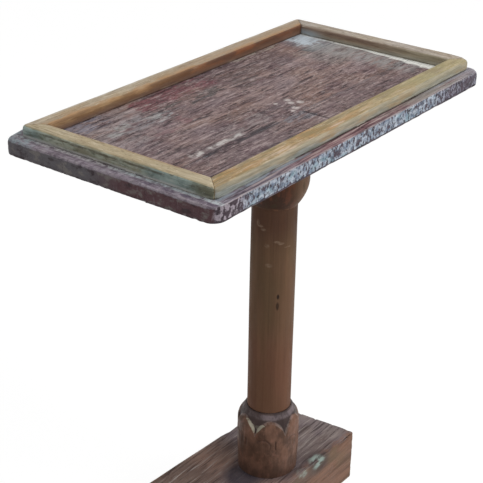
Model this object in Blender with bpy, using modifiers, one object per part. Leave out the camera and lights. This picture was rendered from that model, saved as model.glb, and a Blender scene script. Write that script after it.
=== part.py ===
"""Quran stand: a plank tray with a mitred rim, on a turned post that stands on a hewn block.

Metres, +Z up. The origin is on the floor under the middle of the tray. X runs along the tray,
and Y from the reader's side to the far side.
"""

import math

import bmesh
import bpy

# Fits between pieces
SEAT_GAP = 0.0003
BORE_CLEARANCE = 0.0003

# Plank tray
TRAY_LENGTH = 0.566
TRAY_WIDTH = 0.309
PLANK_THICKNESS = 0.0195
BACK_PLANK_WIDTH = 0.0945
FRONT_PLANK_WIDTH = 0.0945
BUTT_JOINT_X = 0.004
TRAY_CORNER_RADIUS = 0.016
PLANK_ARRIS = 0.0012

# Mitred rim, nearer to the right end of the planks than to the left
RIM_END_INSET = 0.010
RIM_SIDE_INSET = 0.014
RIM_SHIFT = 0.006
RAIL_WIDTH = 0.024
RAIL_HEIGHT = 0.013
RAIL_ROUND = 0.004
RIM_CORNER_RADIUS = 0.007
WORN_CORNER_RADIUS = 0.014

# Battens and plate under the planks
BATTEN_LENGTH = 0.244
BATTEN_WIDTH = 0.040
BATTEN_THICKNESS = 0.018
BATTEN_END_CHAMFER = 0.008
BATTEN_END_DISTANCE = 0.083
PLATE_LENGTH = 0.200
PLATE_WIDTH = 0.220
PLATE_THICKNESS = 0.018
PLATE_CORNER_RADIUS = 0.010
UNDERSIDE_ARRIS = 0.0015

# Turned column
POST_X = 0.018
POST_Y = -0.0145
POST_RADIUS = 0.030
SHAFT_LENGTH = 0.3035
TENON_RADIUS = 0.018
TENON_CHAMFER = 0.002
MORTISE_DEPTH = 0.050
COLLAR_HEIGHT = 0.100
COLLAR_RADIUS = 0.0425
COLLAR_FOOT_RADIUS = 0.041
COLLAR_LIP = 0.0012
SHOULDER_HEIGHT = 0.025
SHOULDER_POWER = 2.3
CAPITAL_HEIGHT = 0.099
CAPITAL_RADIUS = 0.0442
CAPITAL_LIP = 0.0004
CAPITAL_SWELL_HEIGHT = 0.036

# Carved petals round the collar
PETAL_COUNT = 6
PETAL_TURN = math.radians(10.0)
PETAL_RELIEF = 0.0035
PETAL_TIP_DROP = 0.007
PETAL_CLEFT_DROP = 0.0265
PETAL_CHAMFER = 0.0025
PETAL_FLARE = 1.3

# Hewn block, out of square as the old beam was cut
BLOCK_HEIGHT = 0.080
BLOCK_LENGTH = 0.314
BLOCK_LEFT_DEPTH = 0.158
BLOCK_RIGHT_DEPTH = 0.140
BLOCK_END_SKEW = 0.0145
BLOCK_FRONT_Y = -0.0715
BLOCK_CORNER_RADIUS = 0.005
BLOCK_EDGE_ROUND = 0.0035

# Countersunk wood screws
SCREW_SHANK_RADIUS = 0.002
SCREW_HEAD_RADIUS = 0.004
SCREW_HEAD_HEIGHT = 0.0025
SCREW_POINT = 0.004
SCREW_BITE = 0.012
RAIL_SCREW_BITE = 0.008
CAPITAL_SCREW_BITE = 0.030
CAPITAL_SCREW_COUNT = 4
RAIL_SCREWS_LONG = 4
PLATE_SCREW_MARGIN = 0.020
BATTEN_SCREW_SHARES = (0.25, 0.75)

# Coach bolt that draws the post down into the block
BOLT_RADIUS = 0.005
BOLT_HEAD_FLATS = 0.017
BOLT_HEAD_HEIGHT = 0.007
BOLT_BITE = 0.036
BOLT_POINT = 0.006
BOLT_RECESS = 0.003
WASHER_RADIUS = 0.014
WASHER_THICKNESS = 0.0025

# Smoothness of round forms
ROUND_STEPS = 40
BOLT_STEPS = 24
SCREW_STEPS = 8
ARC_STEPS = 6
PETAL_STEPS = 8
SHOULDER_STEPS = 6
SWELL_STEPS = 6
FLAT_ANGLE = math.radians(0.5)
SOFTENED_ANGLE = math.radians(40.0)
WELD = 0.00001
OVERCUT = 0.002

# Heights that follow from the stack
BLOCK_TOP = BLOCK_HEIGHT
COLLAR_BOTTOM = BLOCK_TOP + SEAT_GAP
COLLAR_TOP = COLLAR_BOTTOM + COLLAR_HEIGHT
SHAFT_BOTTOM = COLLAR_TOP + SEAT_GAP
SHAFT_TOP = SHAFT_BOTTOM + SHAFT_LENGTH
CAPITAL_BOTTOM = SHAFT_TOP + SEAT_GAP
CAPITAL_TOP = CAPITAL_BOTTOM + CAPITAL_HEIGHT
PLATE_BOTTOM = CAPITAL_TOP + SEAT_GAP
PLATE_TOP = PLATE_BOTTOM + PLATE_THICKNESS
PLANK_BOTTOM = PLATE_TOP + SEAT_GAP
PLANK_TOP = PLANK_BOTTOM + PLANK_THICKNESS
RAIL_BOTTOM = PLANK_TOP + SEAT_GAP
BATTEN_BOTTOM = PLANK_BOTTOM - SEAT_GAP - BATTEN_THICKNESS
MORTISE_FLOOR = BLOCK_TOP - MORTISE_DEPTH
POCKET_ROOF = BOLT_RECESS + BOLT_HEAD_HEIGHT + WASHER_THICKNESS + 2 * SEAT_GAP

# Plank joints, each a line along the tray
BACK_JOINT_Y = TRAY_WIDTH / 2 - BACK_PLANK_WIDTH
FRONT_JOINT_Y = FRONT_PLANK_WIDTH - TRAY_WIDTH / 2

# Half the rim's outside length and width
RIM_ALONG = TRAY_LENGTH / 2 - RIM_END_INSET
RIM_ACROSS = TRAY_WIDTH / 2 - RIM_SIDE_INSET


def clear_scene():
    for old in list(bpy.data.objects):
        bpy.data.objects.remove(old, do_unlink=True)


def new_collection(name):
    collection = bpy.data.collections.new(name)
    bpy.context.scene.collection.children.link(collection)
    return collection


def finish(name, colour, roughness, metallic=0.0):
    made = bpy.data.materials.new(name)
    made.use_nodes = True
    shader = made.node_tree.nodes["Principled BSDF"]
    shader.inputs["Base Color"].default_value = (*colour, 1.0)
    shader.inputs["Roughness"].default_value = roughness
    shader.inputs["Metallic"].default_value = metallic
    return made


def add_part(name, mesh, material, parent):
    part = bpy.data.objects.new(name, mesh)
    part.data.materials.append(material)
    part.parent = parent
    PARTS.objects.link(part)
    return part


def add_cutter(name, mesh, parent, collection):
    cutter = bpy.data.objects.new(name, mesh)
    cutter.hide_render = True
    cutter.display_type = "WIRE"
    cutter.parent = parent
    collection.objects.link(cutter)
    return cutter


def add_empty(name, location, parent=None):
    empty = bpy.data.objects.new(name, None)
    empty.location = location
    empty.parent = parent
    PARTS.objects.link(empty)
    return empty


def arc(centre_x, centre_y, radius, start, end, steps):
    """Points on an arc, from angle start to angle end, both included."""
    points = []
    for step in range(steps + 1):
        angle = start + (end - start) * step / steps
        points.append((centre_x + radius * math.cos(angle), centre_y + radius * math.sin(angle)))
    return points


def rounded_outline(corners):
    """An outline through corners (x, y, radius), anticlockwise, with each corner rounded by its radius."""
    points = []
    for index, (x, y, radius) in enumerate(corners):
        if radius == 0:
            points.append((x, y))
            continue
        before = corners[index - 1]
        after = corners[(index + 1) % len(corners)]
        way_in = math.atan2(y - before[1], x - before[0])
        way_out = math.atan2(after[1] - y, after[0] - x)
        turn = (way_out - way_in) % math.tau
        setback = radius * math.tan(turn / 2)
        centre_x = x - setback * math.cos(way_in) - radius * math.sin(way_in)
        centre_y = y - setback * math.sin(way_in) + radius * math.cos(way_in)
        start = way_in - math.pi / 2
        points += arc(centre_x, centre_y, radius, start, start + turn, ARC_STEPS)
    return points


def prism(name, outline, height, bevel=0.0):
    """A flat outline extruded upwards from z = 0. bevel widens it by that much between its ends."""
    curve = bpy.data.curves.new(name, "CURVE")
    curve.dimensions = "2D"
    curve.fill_mode = "BOTH"
    curve.extrude = height / 2 - bevel
    curve.bevel_depth = bevel
    curve.bevel_resolution = 0
    spline = curve.splines.new("POLY")
    spline.points.add(len(outline) - 1)
    for point, (x, y) in zip(spline.points, outline):
        point.co = (x, y, 0.0, 1.0)
    spline.use_cyclic_u = True
    drawn = bpy.data.objects.new(name, curve)
    bpy.context.scene.collection.objects.link(drawn)
    graph = bpy.context.evaluated_depsgraph_get()
    mesh = bpy.data.meshes.new_from_object(drawn.evaluated_get(graph))
    bpy.data.objects.remove(drawn, do_unlink=True)
    mesh.materials.clear()
    mesh.name = name
    shape = bmesh.new()
    shape.from_mesh(mesh)
    bmesh.ops.remove_doubles(shape, verts=shape.verts, dist=WELD)
    bmesh.ops.dissolve_limit(shape, angle_limit=FLAT_ANGLE, verts=shape.verts, edges=shape.edges)
    bmesh.ops.translate(shape, verts=shape.verts, vec=(0.0, 0.0, height / 2))
    bmesh.ops.recalc_face_normals(shape, faces=shape.faces)
    shape.to_mesh(mesh)
    shape.free()
    return mesh


def profile_mesh(name, profile, closed=False):
    """A line of (radius, height) points in the XZ plane, ready to be turned."""
    edges = [(i, i + 1) for i in range(len(profile) - 1)]
    if closed:
        edges.append((len(profile) - 1, 0))
    mesh = bpy.data.meshes.new(name)
    mesh.from_pydata([(radius, 0.0, height) for radius, height in profile], edges, [])
    return mesh


def turn(obj, steps=ROUND_STEPS):
    screw = obj.modifiers.new("turned", "SCREW")
    screw.axis = "Z"
    screw.steps = steps
    screw.render_steps = steps
    screw.use_merge_vertices = True
    screw.merge_threshold = WELD
    screw.use_smooth_shade = True


def cut(obj, cutter):
    boolean = obj.modifiers.new("cut_by_" + cutter.name, "BOOLEAN")
    boolean.operation = "DIFFERENCE"
    if isinstance(cutter, bpy.types.Collection):
        boolean.operand_type = "COLLECTION"
        boolean.collection = cutter
    else:
        boolean.object = cutter


def join(obj, other):
    boolean = obj.modifiers.new("joined_to_" + other.name, "BOOLEAN")
    boolean.operation = "UNION"
    boolean.object = other


def soften(obj, width, segments=2, by_weight=False):
    bevel = obj.modifiers.new("worn_edges", "BEVEL")
    bevel.width = width
    bevel.segments = segments
    bevel.limit_method = "WEIGHT" if by_weight else "ANGLE"
    bevel.angle_limit = SOFTENED_ANGLE


def shoulder_curve(inner, outer, low, high):
    """A sloping shoulder from (inner, high) out and down to (outer, low), where it is upright."""
    points = []
    for step in range(SHOULDER_STEPS + 1):
        drop = step / SHOULDER_STEPS
        share = 1 - (1 - drop) ** SHOULDER_POWER
        points.append((inner + (outer - inner) * share, high - (high - low) * drop))
    return points


def wood_screw_profile(length, spare=0.0):
    """A screw that points up from its head at z = 0. Its hole has spare all round and opens downwards."""
    head = SCREW_HEAD_RADIUS + spare
    shank = SCREW_SHANK_RADIUS + spare
    outline = [(0.0, length + spare)]
    outline.append((shank / 2, length + spare))
    outline.append((shank, length - SCREW_POINT))
    outline.append((shank, SCREW_HEAD_HEIGHT + spare))
    outline.append((head, spare))
    if spare:
        outline.append((head, -OVERCUT))
        outline.append((0.0, -OVERCUT))
    else:
        outline.append((0.0, 0.0))
    return outline


def drive_screw(name, x, y, head_z, length, downwards=False):
    """One countersunk screw, and the hole that it needs in whatever it passes through."""
    mesh = profile_mesh(name, wood_screw_profile(length))
    screw = add_part(name, mesh, STEEL, None)
    hole = add_cutter(
        name + "_hole",
        profile_mesh(name + "_hole", wood_screw_profile(length, BORE_CLEARANCE)),
        None,
        SCREW_HOLES,
    )
    for made in (screw, hole):
        made.location = (x, y, head_z)
        made.rotation_euler = (math.pi if downwards else 0.0, 0.0, 0.0)
        turn(made, SCREW_STEPS)


def make_planks():
    """Three boards side by side, the one at the reader's side in two lengths."""
    left, right = -TRAY_LENGTH / 2, TRAY_LENGTH / 2
    front, back = -TRAY_WIDTH / 2, TRAY_WIDTH / 2
    half = SEAT_GAP / 2
    round_corner = TRAY_CORNER_RADIUS
    outlines = {
        "back_plank": [
            (left, BACK_JOINT_Y + half, 0),
            (right, BACK_JOINT_Y + half, 0),
            (right, back, round_corner),
            (left, back, round_corner),
        ],
        "middle_plank": [
            (left, FRONT_JOINT_Y + half, 0),
            (right, FRONT_JOINT_Y + half, 0),
            (right, BACK_JOINT_Y - half, 0),
            (left, BACK_JOINT_Y - half, 0),
        ],
        "front_left_plank": [
            (left, front, round_corner),
            (BUTT_JOINT_X - half, front, 0),
            (BUTT_JOINT_X - half, FRONT_JOINT_Y - half, 0),
            (left, FRONT_JOINT_Y - half, 0),
        ],
        "front_right_plank": [
            (BUTT_JOINT_X + half, front, 0),
            (right, front, round_corner),
            (right, FRONT_JOINT_Y - half, 0),
            (BUTT_JOINT_X + half, FRONT_JOINT_Y - half, 0),
        ],
    }
    for name, corners in outlines.items():
        plank = add_part(
            name, prism(name, rounded_outline(corners), PLANK_THICKNESS), PAINTED_PLANK, TRAY
        )
        soften(plank, PLANK_ARRIS)
        cut(plank, SCREW_HOLES)


def rail_outline(length, start_radius, end_radius):
    """A mitred rail along X: its outer edge on y = 0, half of a rounded rim corner at each end."""
    trim = SEAT_GAP / 2 * math.sqrt(2)
    reach = length / 2
    eighth = math.pi / 4
    points = []
    start = arc(start_radius - reach, start_radius, start_radius, 5 * eighth, 6 * eighth, ARC_STEPS // 2)
    for x, y in start:
        points.append((x + trim, y))
    end = arc(reach - end_radius, end_radius, end_radius, 6 * eighth, 7 * eighth, ARC_STEPS // 2)
    for x, y in end:
        points.append((x - trim, y))
    points.append((reach - RAIL_WIDTH - trim, RAIL_WIDTH))
    points.append((RAIL_WIDTH - reach + trim, RAIL_WIDTH))
    return points


def weigh_rail_edges(mesh):
    """Marks the edges that run along the top of a rail, and leaves its mitres crisp."""
    shape = bmesh.new()
    shape.from_mesh(mesh)
    weight = shape.edges.layers.float.new("bevel_weight_edge")
    for edge in shape.edges:
        on_top = all(vert.co.z > RAIL_HEIGHT / 2 for vert in edge.verts)
        inner_ends = [abs(vert.co.y - RAIL_WIDTH) < WELD for vert in edge.verts]
        if on_top and inner_ends[0] == inner_ends[1]:
            edge[weight] = 1.0
    shape.to_mesh(mesh)
    shape.free()


def make_rim():
    """Four rails mitred at the corners, set in from the edge of the planks. One corner is worn."""
    usual, worn = RIM_CORNER_RADIUS, WORN_CORNER_RADIUS
    places = {
        "front_rail": (RIM_SHIFT, -RIM_ACROSS, 0.0, rail_outline(2 * RIM_ALONG, usual, worn)),
        "right_rail": (RIM_SHIFT + RIM_ALONG, 0.0, math.pi / 2, rail_outline(2 * RIM_ACROSS, worn, usual)),
        "back_rail": (RIM_SHIFT, RIM_ACROSS, math.pi, rail_outline(2 * RIM_ALONG, usual, usual)),
        "left_rail": (RIM_SHIFT - RIM_ALONG, 0.0, -math.pi / 2, rail_outline(2 * RIM_ACROSS, usual, usual)),
    }
    for name, (x, y, angle, outline) in places.items():
        mesh = prism(name, outline, RAIL_HEIGHT)
        weigh_rail_edges(mesh)
        rail = add_part(name, mesh, RAIL_WOOD, TRAY)
        rail.location = (x, y, RAIL_BOTTOM - PLANK_BOTTOM)
        rail.rotation_euler = (0.0, 0.0, angle)
        soften(rail, RAIL_ROUND, 3, by_weight=True)
        cut(rail, SCREW_HOLES)


def rail_screw_places():
    """Along each long rail at even steps, and once through each plank into each short rail."""
    across = RIM_ACROSS - RAIL_WIDTH / 2
    along = RIM_ALONG - RAIL_WIDTH / 2
    step = TRAY_LENGTH / RAIL_SCREWS_LONG
    places = []
    for index in range(RAIL_SCREWS_LONG):
        x = (index + 0.5) * step - TRAY_LENGTH / 2
        places += [(x, -across), (x, across)]
    for y in plank_middles(TRAY_WIDTH / 2):
        places += [(RIM_SHIFT - along, y), (RIM_SHIFT + along, y)]
    return places


def plank_spans(reach):
    """The part of each plank's width that lies within reach of the tray's middle line, front to back."""
    return [(-reach, FRONT_JOINT_Y), (FRONT_JOINT_Y, BACK_JOINT_Y), (BACK_JOINT_Y, reach)]


def plank_middles(reach):
    return [(low + high) / 2 for low, high in plank_spans(reach)]


def make_rail_screws():
    length = PLANK_THICKNESS + SEAT_GAP + RAIL_SCREW_BITE
    for index, (x, y) in enumerate(rail_screw_places(), start=1):
        drive_screw(f"rail_screw_{index}", x, y, PLANK_BOTTOM, length)


def make_battens():
    """Two cross battens, chamfered at their lower ends, with two screws up into each plank."""
    reach = BATTEN_LENGTH / 2
    outline = [
        (-reach + BATTEN_END_CHAMFER, 0.0),
        (reach - BATTEN_END_CHAMFER, 0.0),
        (reach, BATTEN_END_CHAMFER),
        (reach, BATTEN_THICKNESS),
        (-reach, BATTEN_THICKNESS),
        (-reach, BATTEN_END_CHAMFER),
    ]
    length = BATTEN_THICKNESS + SEAT_GAP + SCREW_BITE
    number = 1
    for name, side in (("left_batten", -1), ("right_batten", 1)):
        x = side * (TRAY_LENGTH / 2 - BATTEN_END_DISTANCE)
        batten = add_part(name, prism(name, outline, BATTEN_WIDTH), BATTEN_WOOD, TRAY)
        batten.location = (x - BATTEN_WIDTH / 2, 0.0, BATTEN_BOTTOM - PLANK_BOTTOM)
        batten.rotation_euler = (math.pi / 2, 0.0, math.pi / 2)
        soften(batten, UNDERSIDE_ARRIS)
        cut(batten, SCREW_HOLES)
        for low, high in plank_spans(reach):
            for share in BATTEN_SCREW_SHARES:
                y = low + (high - low) * share
                drive_screw(f"batten_screw_{number}", x, y, BATTEN_BOTTOM, length)
                number += 1


def make_plate():
    """The board that joins the capital to the planks, bored for the post's tenon."""
    along, across = PLATE_LENGTH / 2, PLATE_WIDTH / 2
    corners = [(-along, -across), (along, -across), (along, across), (-along, across)]
    outline = rounded_outline([(x, y, PLATE_CORNER_RADIUS) for x, y in corners])
    plate = add_part("top_plate", prism("top_plate", outline, PLATE_THICKNESS), BATTEN_WOOD, TRAY)
    plate.location = (0.0, 0.0, PLATE_BOTTOM - PLANK_BOTTOM)
    soften(plate, UNDERSIDE_ARRIS)
    bore = TENON_RADIUS + BORE_CLEARANCE
    bored = add_cutter(
        "plate_bore",
        profile_mesh(
            "plate_bore",
            [
                (0.0, PLATE_TOP + OVERCUT),
                (bore, PLATE_TOP + OVERCUT),
                (bore, PLATE_BOTTOM - OVERCUT),
                (0.0, PLATE_BOTTOM - OVERCUT),
            ],
        ),
        COLUMN,
        CUTTERS,
    )
    turn(bored)
    cut(plate, bored)
    cut(plate, SCREW_HOLES)


def make_plate_screws():
    """Up into the planks beside the capital, and down through the plate into the capital."""
    length = PLATE_THICKNESS + SEAT_GAP + SCREW_BITE
    number = 1
    for y in plank_middles(PLATE_WIDTH / 2):
        for side in (-1, 1):
            x = side * (PLATE_LENGTH / 2 - PLATE_SCREW_MARGIN)
            drive_screw(f"plate_screw_{number}", x, y, PLATE_BOTTOM, length)
            number += 1
    length = PLATE_THICKNESS + SEAT_GAP + CAPITAL_SCREW_BITE
    ring = (TENON_RADIUS + CAPITAL_RADIUS) / 2
    for index in range(CAPITAL_SCREW_COUNT):
        angle = math.tau * (index + 0.5) / CAPITAL_SCREW_COUNT
        x = POST_X + ring * math.cos(angle)
        y = POST_Y + ring * math.sin(angle)
        drive_screw(f"capital_screw_{index + 1}", x, y, PLATE_TOP, length, downwards=True)


def make_post():
    """A plain round shaft between two long tenons, its foot bored for the bolt."""
    high = PLATE_TOP
    low = MORTISE_FLOOR + SEAT_GAP
    bolt = BOLT_RADIUS + BORE_CLEARANCE
    profile = [
        (0.0, high),
        (TENON_RADIUS - TENON_CHAMFER, high),
        (TENON_RADIUS, high - TENON_CHAMFER),
        (TENON_RADIUS, SHAFT_TOP),
        (POST_RADIUS, SHAFT_TOP),
        (POST_RADIUS, SHAFT_BOTTOM),
        (TENON_RADIUS, SHAFT_BOTTOM),
        (TENON_RADIUS, low + TENON_CHAMFER),
        (TENON_RADIUS - TENON_CHAMFER, low),
        (bolt, low),
        (bolt, low + BOLT_BITE),
        (0.0, low + BOLT_BITE),
    ]
    turn(add_part("post", profile_mesh("post", profile), POST_WOOD, COLUMN))


def make_capital():
    """A plain turned swelling under the tray, bored through for the tenon."""
    bore = TENON_RADIUS + BORE_CLEARANCE
    lip = POST_RADIUS + CAPITAL_LIP
    profile = [(bore, CAPITAL_TOP), (CAPITAL_RADIUS, CAPITAL_TOP)]
    for step in range(SWELL_STEPS + 1):
        drop = step / SWELL_STEPS
        radius = CAPITAL_RADIUS - (CAPITAL_RADIUS - lip) * drop**2
        profile.append((radius, CAPITAL_BOTTOM + CAPITAL_SWELL_HEIGHT * (1 - drop)))
    profile.append((bore, CAPITAL_BOTTOM))
    capital = add_part("capital", profile_mesh("capital", profile, closed=True), POST_WOOD, COLUMN)
    turn(capital)
    cut(capital, SCREW_HOLES)


def petal_cleft_outline():
    """The gap between two petals: a point below, sides that swell out to the tips, and open above."""
    half_width = COLLAR_RADIUS * math.sin(math.pi / PETAL_COUNT)
    low = COLLAR_TOP - PETAL_CLEFT_DROP
    high = COLLAR_TOP - PETAL_TIP_DROP
    side = []
    for step in range(PETAL_STEPS + 1):
        share = step / PETAL_STEPS
        x = half_width * share**PETAL_FLARE
        side.append((x, low + (high - low) * math.sin(share * math.pi / 2)))
    top = COLLAR_TOP + COLLAR_HEIGHT
    left = [(-x, z) for x, z in reversed(side[1:])]
    return left + side + [(half_width, top), (-half_width, top)]


def make_collar():
    """A swelling foot ring. Petals stand proud of the bare shoulder, with a cleft between each two."""
    bare = COLLAR_RADIUS - PETAL_RELIEF
    lip = POST_RADIUS + COLLAR_LIP
    shoulder = COLLAR_TOP - SHOULDER_HEIGHT
    middle = (COLLAR_BOTTOM + shoulder) / 2
    petal_top = COLLAR_TOP - PETAL_TIP_DROP / 2
    profile = [(0.0, petal_top)]
    profile += shoulder_curve(lip, COLLAR_RADIUS, shoulder, petal_top)
    profile.append((COLLAR_RADIUS, middle))
    profile.append((COLLAR_FOOT_RADIUS, COLLAR_BOTTOM))
    profile.append((0.0, COLLAR_BOTTOM))
    collar = add_part(
        "base_collar", profile_mesh("base_collar", profile), COLLAR_WOOD, COLUMN
    )
    turn(collar)

    clefts = new_collection("petal_clefts")
    depth = COLLAR_RADIUS
    mesh = prism("petal_cleft", petal_cleft_outline(), depth, PETAL_CHAMFER)
    for index in range(PETAL_COUNT):
        angle = PETAL_TURN + math.tau * index / PETAL_COUNT
        cleft = add_cutter(f"petal_cleft_{index + 1}", mesh, COLUMN, clefts)
        inner = bare - PETAL_CHAMFER
        cleft.location = (inner * math.cos(angle), inner * math.sin(angle), 0.0)
        cleft.rotation_euler = (math.pi / 2, 0.0, angle + math.pi / 2)
    cut(collar, clefts)

    core_profile = [(0.0, COLLAR_TOP)]
    core_profile += shoulder_curve(lip, bare, shoulder, COLLAR_TOP)
    core_profile.append((bare, middle))
    core_profile.append((0.0, middle))
    core = add_cutter("collar_core", profile_mesh("collar_core", core_profile), COLUMN, CUTTERS)
    turn(core)
    join(collar, core)

    bore = TENON_RADIUS + BORE_CLEARANCE
    bore_profile = [
        (0.0, COLLAR_TOP + OVERCUT),
        (bore, COLLAR_TOP + OVERCUT),
        (bore, COLLAR_BOTTOM - OVERCUT),
        (0.0, COLLAR_BOTTOM - OVERCUT),
    ]
    bored = add_cutter("collar_bore", profile_mesh("collar_bore", bore_profile), COLUMN, CUTTERS)
    turn(bored)
    cut(collar, bored)


def make_block():
    """The hewn block, its far side and right end out of square, with the bolt's pocket sunk below."""
    left, right = -BLOCK_LENGTH / 2, BLOCK_LENGTH / 2
    front = BLOCK_FRONT_Y
    corners = [
        (left, front),
        (right, front),
        (right - BLOCK_END_SKEW, front + BLOCK_RIGHT_DEPTH),
        (left, front + BLOCK_LEFT_DEPTH),
    ]
    outline = rounded_outline([(x, y, BLOCK_CORNER_RADIUS) for x, y in corners])
    block = add_part("base_block", prism("base_block", outline, BLOCK_HEIGHT), BLOCK_WOOD, None)
    soften(block, BLOCK_EDGE_ROUND, 3)
    mortise = TENON_RADIUS + BORE_CLEARANCE
    bolt = BOLT_RADIUS + BORE_CLEARANCE
    pocket = WASHER_RADIUS + 2 * BORE_CLEARANCE
    profile = [
        (0.0, BLOCK_TOP + OVERCUT),
        (mortise, BLOCK_TOP + OVERCUT),
        (mortise, MORTISE_FLOOR),
        (bolt, MORTISE_FLOOR),
        (bolt, POCKET_ROOF),
        (pocket, POCKET_ROOF),
        (pocket, -OVERCUT),
        (0.0, -OVERCUT),
    ]
    bored = add_cutter("block_bore", profile_mesh("block_bore", profile), COLUMN, CUTTERS)
    turn(bored)
    cut(block, bored)


def make_bolt():
    """A hexagon-headed coach bolt, and the washer that it draws up against the roof of its pocket."""
    washer_top = POCKET_ROOF - SEAT_GAP
    washer_bottom = washer_top - WASHER_THICKNESS
    hole = BOLT_RADIUS + BORE_CLEARANCE
    ring = [
        (hole, washer_top),
        (WASHER_RADIUS, washer_top),
        (WASHER_RADIUS, washer_bottom),
        (hole, washer_bottom),
    ]
    washer = add_part("bolt_washer", profile_mesh("bolt_washer", ring, closed=True), STEEL, COLUMN)
    turn(washer, BOLT_STEPS)

    head_top = washer_bottom - SEAT_GAP
    tip = MORTISE_FLOOR + BOLT_BITE
    shank = [
        (0.0, tip),
        (BOLT_RADIUS / 3, tip),
        (BOLT_RADIUS, tip - BOLT_POINT),
        (BOLT_RADIUS, head_top - BOLT_HEAD_HEIGHT / 2),
        (0.0, head_top - BOLT_HEAD_HEIGHT / 2),
    ]
    rod = add_cutter("bolt_shank", profile_mesh("bolt_shank", shank), COLUMN, CUTTERS)
    turn(rod, BOLT_STEPS)
    corner = BOLT_HEAD_FLATS / math.sqrt(3)
    hexagon = arc(0.0, 0.0, corner, 0.0, math.tau * 5 / 6, 5)
    bolt = add_part("base_bolt", prism("base_bolt", hexagon, BOLT_HEAD_HEIGHT), STEEL, COLUMN)
    bolt.location = (0.0, 0.0, head_top - BOLT_HEAD_HEIGHT)
    join(bolt, rod)


clear_scene()
PARTS = new_collection("quran_stand")
CUTTERS = new_collection("cutters")
SCREW_HOLES = new_collection("screw_holes")

PAINTED_PLANK = finish("painted_plank", (0.150, 0.090, 0.082), 0.72)
RAIL_WOOD = finish("rail_wood", (0.390, 0.270, 0.140), 0.62)
POST_WOOD = finish("post_wood", (0.085, 0.045, 0.028), 0.45)
COLLAR_WOOD = finish("collar_wood", (0.130, 0.072, 0.048), 0.55)
BLOCK_WOOD = finish("block_wood", (0.140, 0.095, 0.080), 0.75)
BATTEN_WOOD = finish("batten_wood", (0.330, 0.220, 0.120), 0.70)
STEEL = finish("zinc_steel", (0.560, 0.560, 0.550), 0.38, 1.0)

TRAY = add_empty("tray_underside", (0.0, 0.0, PLANK_BOTTOM))
COLUMN = add_empty("column_axis", (POST_X, POST_Y, 0.0))

make_block()
make_collar()
make_post()
make_capital()
make_bolt()
make_plate()
make_battens()
make_planks()
make_rim()
make_plate_screws()
make_rail_screws()
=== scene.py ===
"""Looks of the quran stand: worn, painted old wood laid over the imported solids.

Metres, in the solids' own frame: X along the tray, Y away from the reader, Z up.
"""

import math

import bmesh
import bpy
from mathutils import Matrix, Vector, noise


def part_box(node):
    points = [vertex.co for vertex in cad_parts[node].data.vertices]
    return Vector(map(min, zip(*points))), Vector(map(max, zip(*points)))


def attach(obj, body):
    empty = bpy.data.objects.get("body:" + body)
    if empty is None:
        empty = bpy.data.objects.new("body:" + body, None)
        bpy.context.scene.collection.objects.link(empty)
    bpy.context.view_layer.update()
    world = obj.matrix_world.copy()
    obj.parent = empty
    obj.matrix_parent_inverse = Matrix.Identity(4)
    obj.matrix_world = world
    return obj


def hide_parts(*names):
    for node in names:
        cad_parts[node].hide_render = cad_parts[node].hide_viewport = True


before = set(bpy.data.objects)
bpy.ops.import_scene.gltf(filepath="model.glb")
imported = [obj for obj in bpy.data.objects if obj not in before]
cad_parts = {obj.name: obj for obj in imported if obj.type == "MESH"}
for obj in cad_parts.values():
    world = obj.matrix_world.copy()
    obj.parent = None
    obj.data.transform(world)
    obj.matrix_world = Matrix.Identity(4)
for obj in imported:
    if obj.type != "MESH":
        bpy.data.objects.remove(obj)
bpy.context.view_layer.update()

# Places taken from the frame
PLANKS = ("back_plank", "middle_plank", "front_left_plank", "front_right_plank")
RAILS = ("front_rail", "back_rail", "left_rail", "right_rail")
TRAY_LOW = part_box("front_left_plank")[0]
TRAY_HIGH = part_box("back_plank")[1]
TRAY_FLOOR = TRAY_HIGH.z
BACK_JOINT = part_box("back_plank")[0].y
FRONT_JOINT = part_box("front_left_plank")[1].y
BUTT_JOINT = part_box("front_left_plank")[1].x
RIM_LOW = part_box("left_rail")[0]
RIM_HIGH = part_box("right_rail")[1]
RAIL_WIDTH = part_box("left_rail")[1].x - RIM_LOW.x
RAIL_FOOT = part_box("left_rail")[0].z
RIM_TOP = RIM_HIGH.z
INNER_LOW = Vector((RIM_LOW.x + RAIL_WIDTH, RIM_LOW.y + RAIL_WIDTH, TRAY_FLOOR))
INNER_HIGH = Vector((RIM_HIGH.x - RAIL_WIDTH, RIM_HIGH.y - RAIL_WIDTH, TRAY_FLOOR))
BLOCK_LOW, BLOCK_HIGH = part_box("base_block")
COLLAR_LOW, COLLAR_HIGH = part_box("base_collar")
CAPITAL_LOW, CAPITAL_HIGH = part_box("capital")
POST_LOW, POST_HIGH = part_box("post")
AXIS = (POST_LOW + POST_HIGH) / 2
POST_RADIUS = (POST_HIGH.x - POST_LOW.x) / 2
COLLAR_RADIUS = (COLLAR_HIGH.x - COLLAR_LOW.x) / 2
CAPITAL_RADIUS = (CAPITAL_HIGH.x - CAPITAL_LOW.x) / 2

# Turned forms
TENON_RADIUS = 0.018
TENON_CHAMFER = 0.002
BORE_RADIUS = TENON_RADIUS + 0.0003
BOLT_BORE_RADIUS = 0.0053
BOLT_BORE_DEPTH = 0.036
SEAT_GAP = 0.0003
LIP_RADIUS = POST_RADIUS + 0.0012
CAPITAL_LIP_RADIUS = POST_RADIUS + 0.0004
CAPITAL_SWELL = 0.036
SHOULDER = 0.025
SHOULDER_POWER = 2.3
COLLAR_FOOT_RADIUS = 0.041

# Carved petals round the collar
PETAL_COUNT = 6
PETAL_TURN = math.radians(10.0)
PETAL_RELIEF = 0.0035
PETAL_TIP_DROP = 0.007
PETAL_CLEFT_DROP = 0.0265
PETAL_CHAMFER = 0.0032
PETAL_FLARE = 1.3

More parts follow.
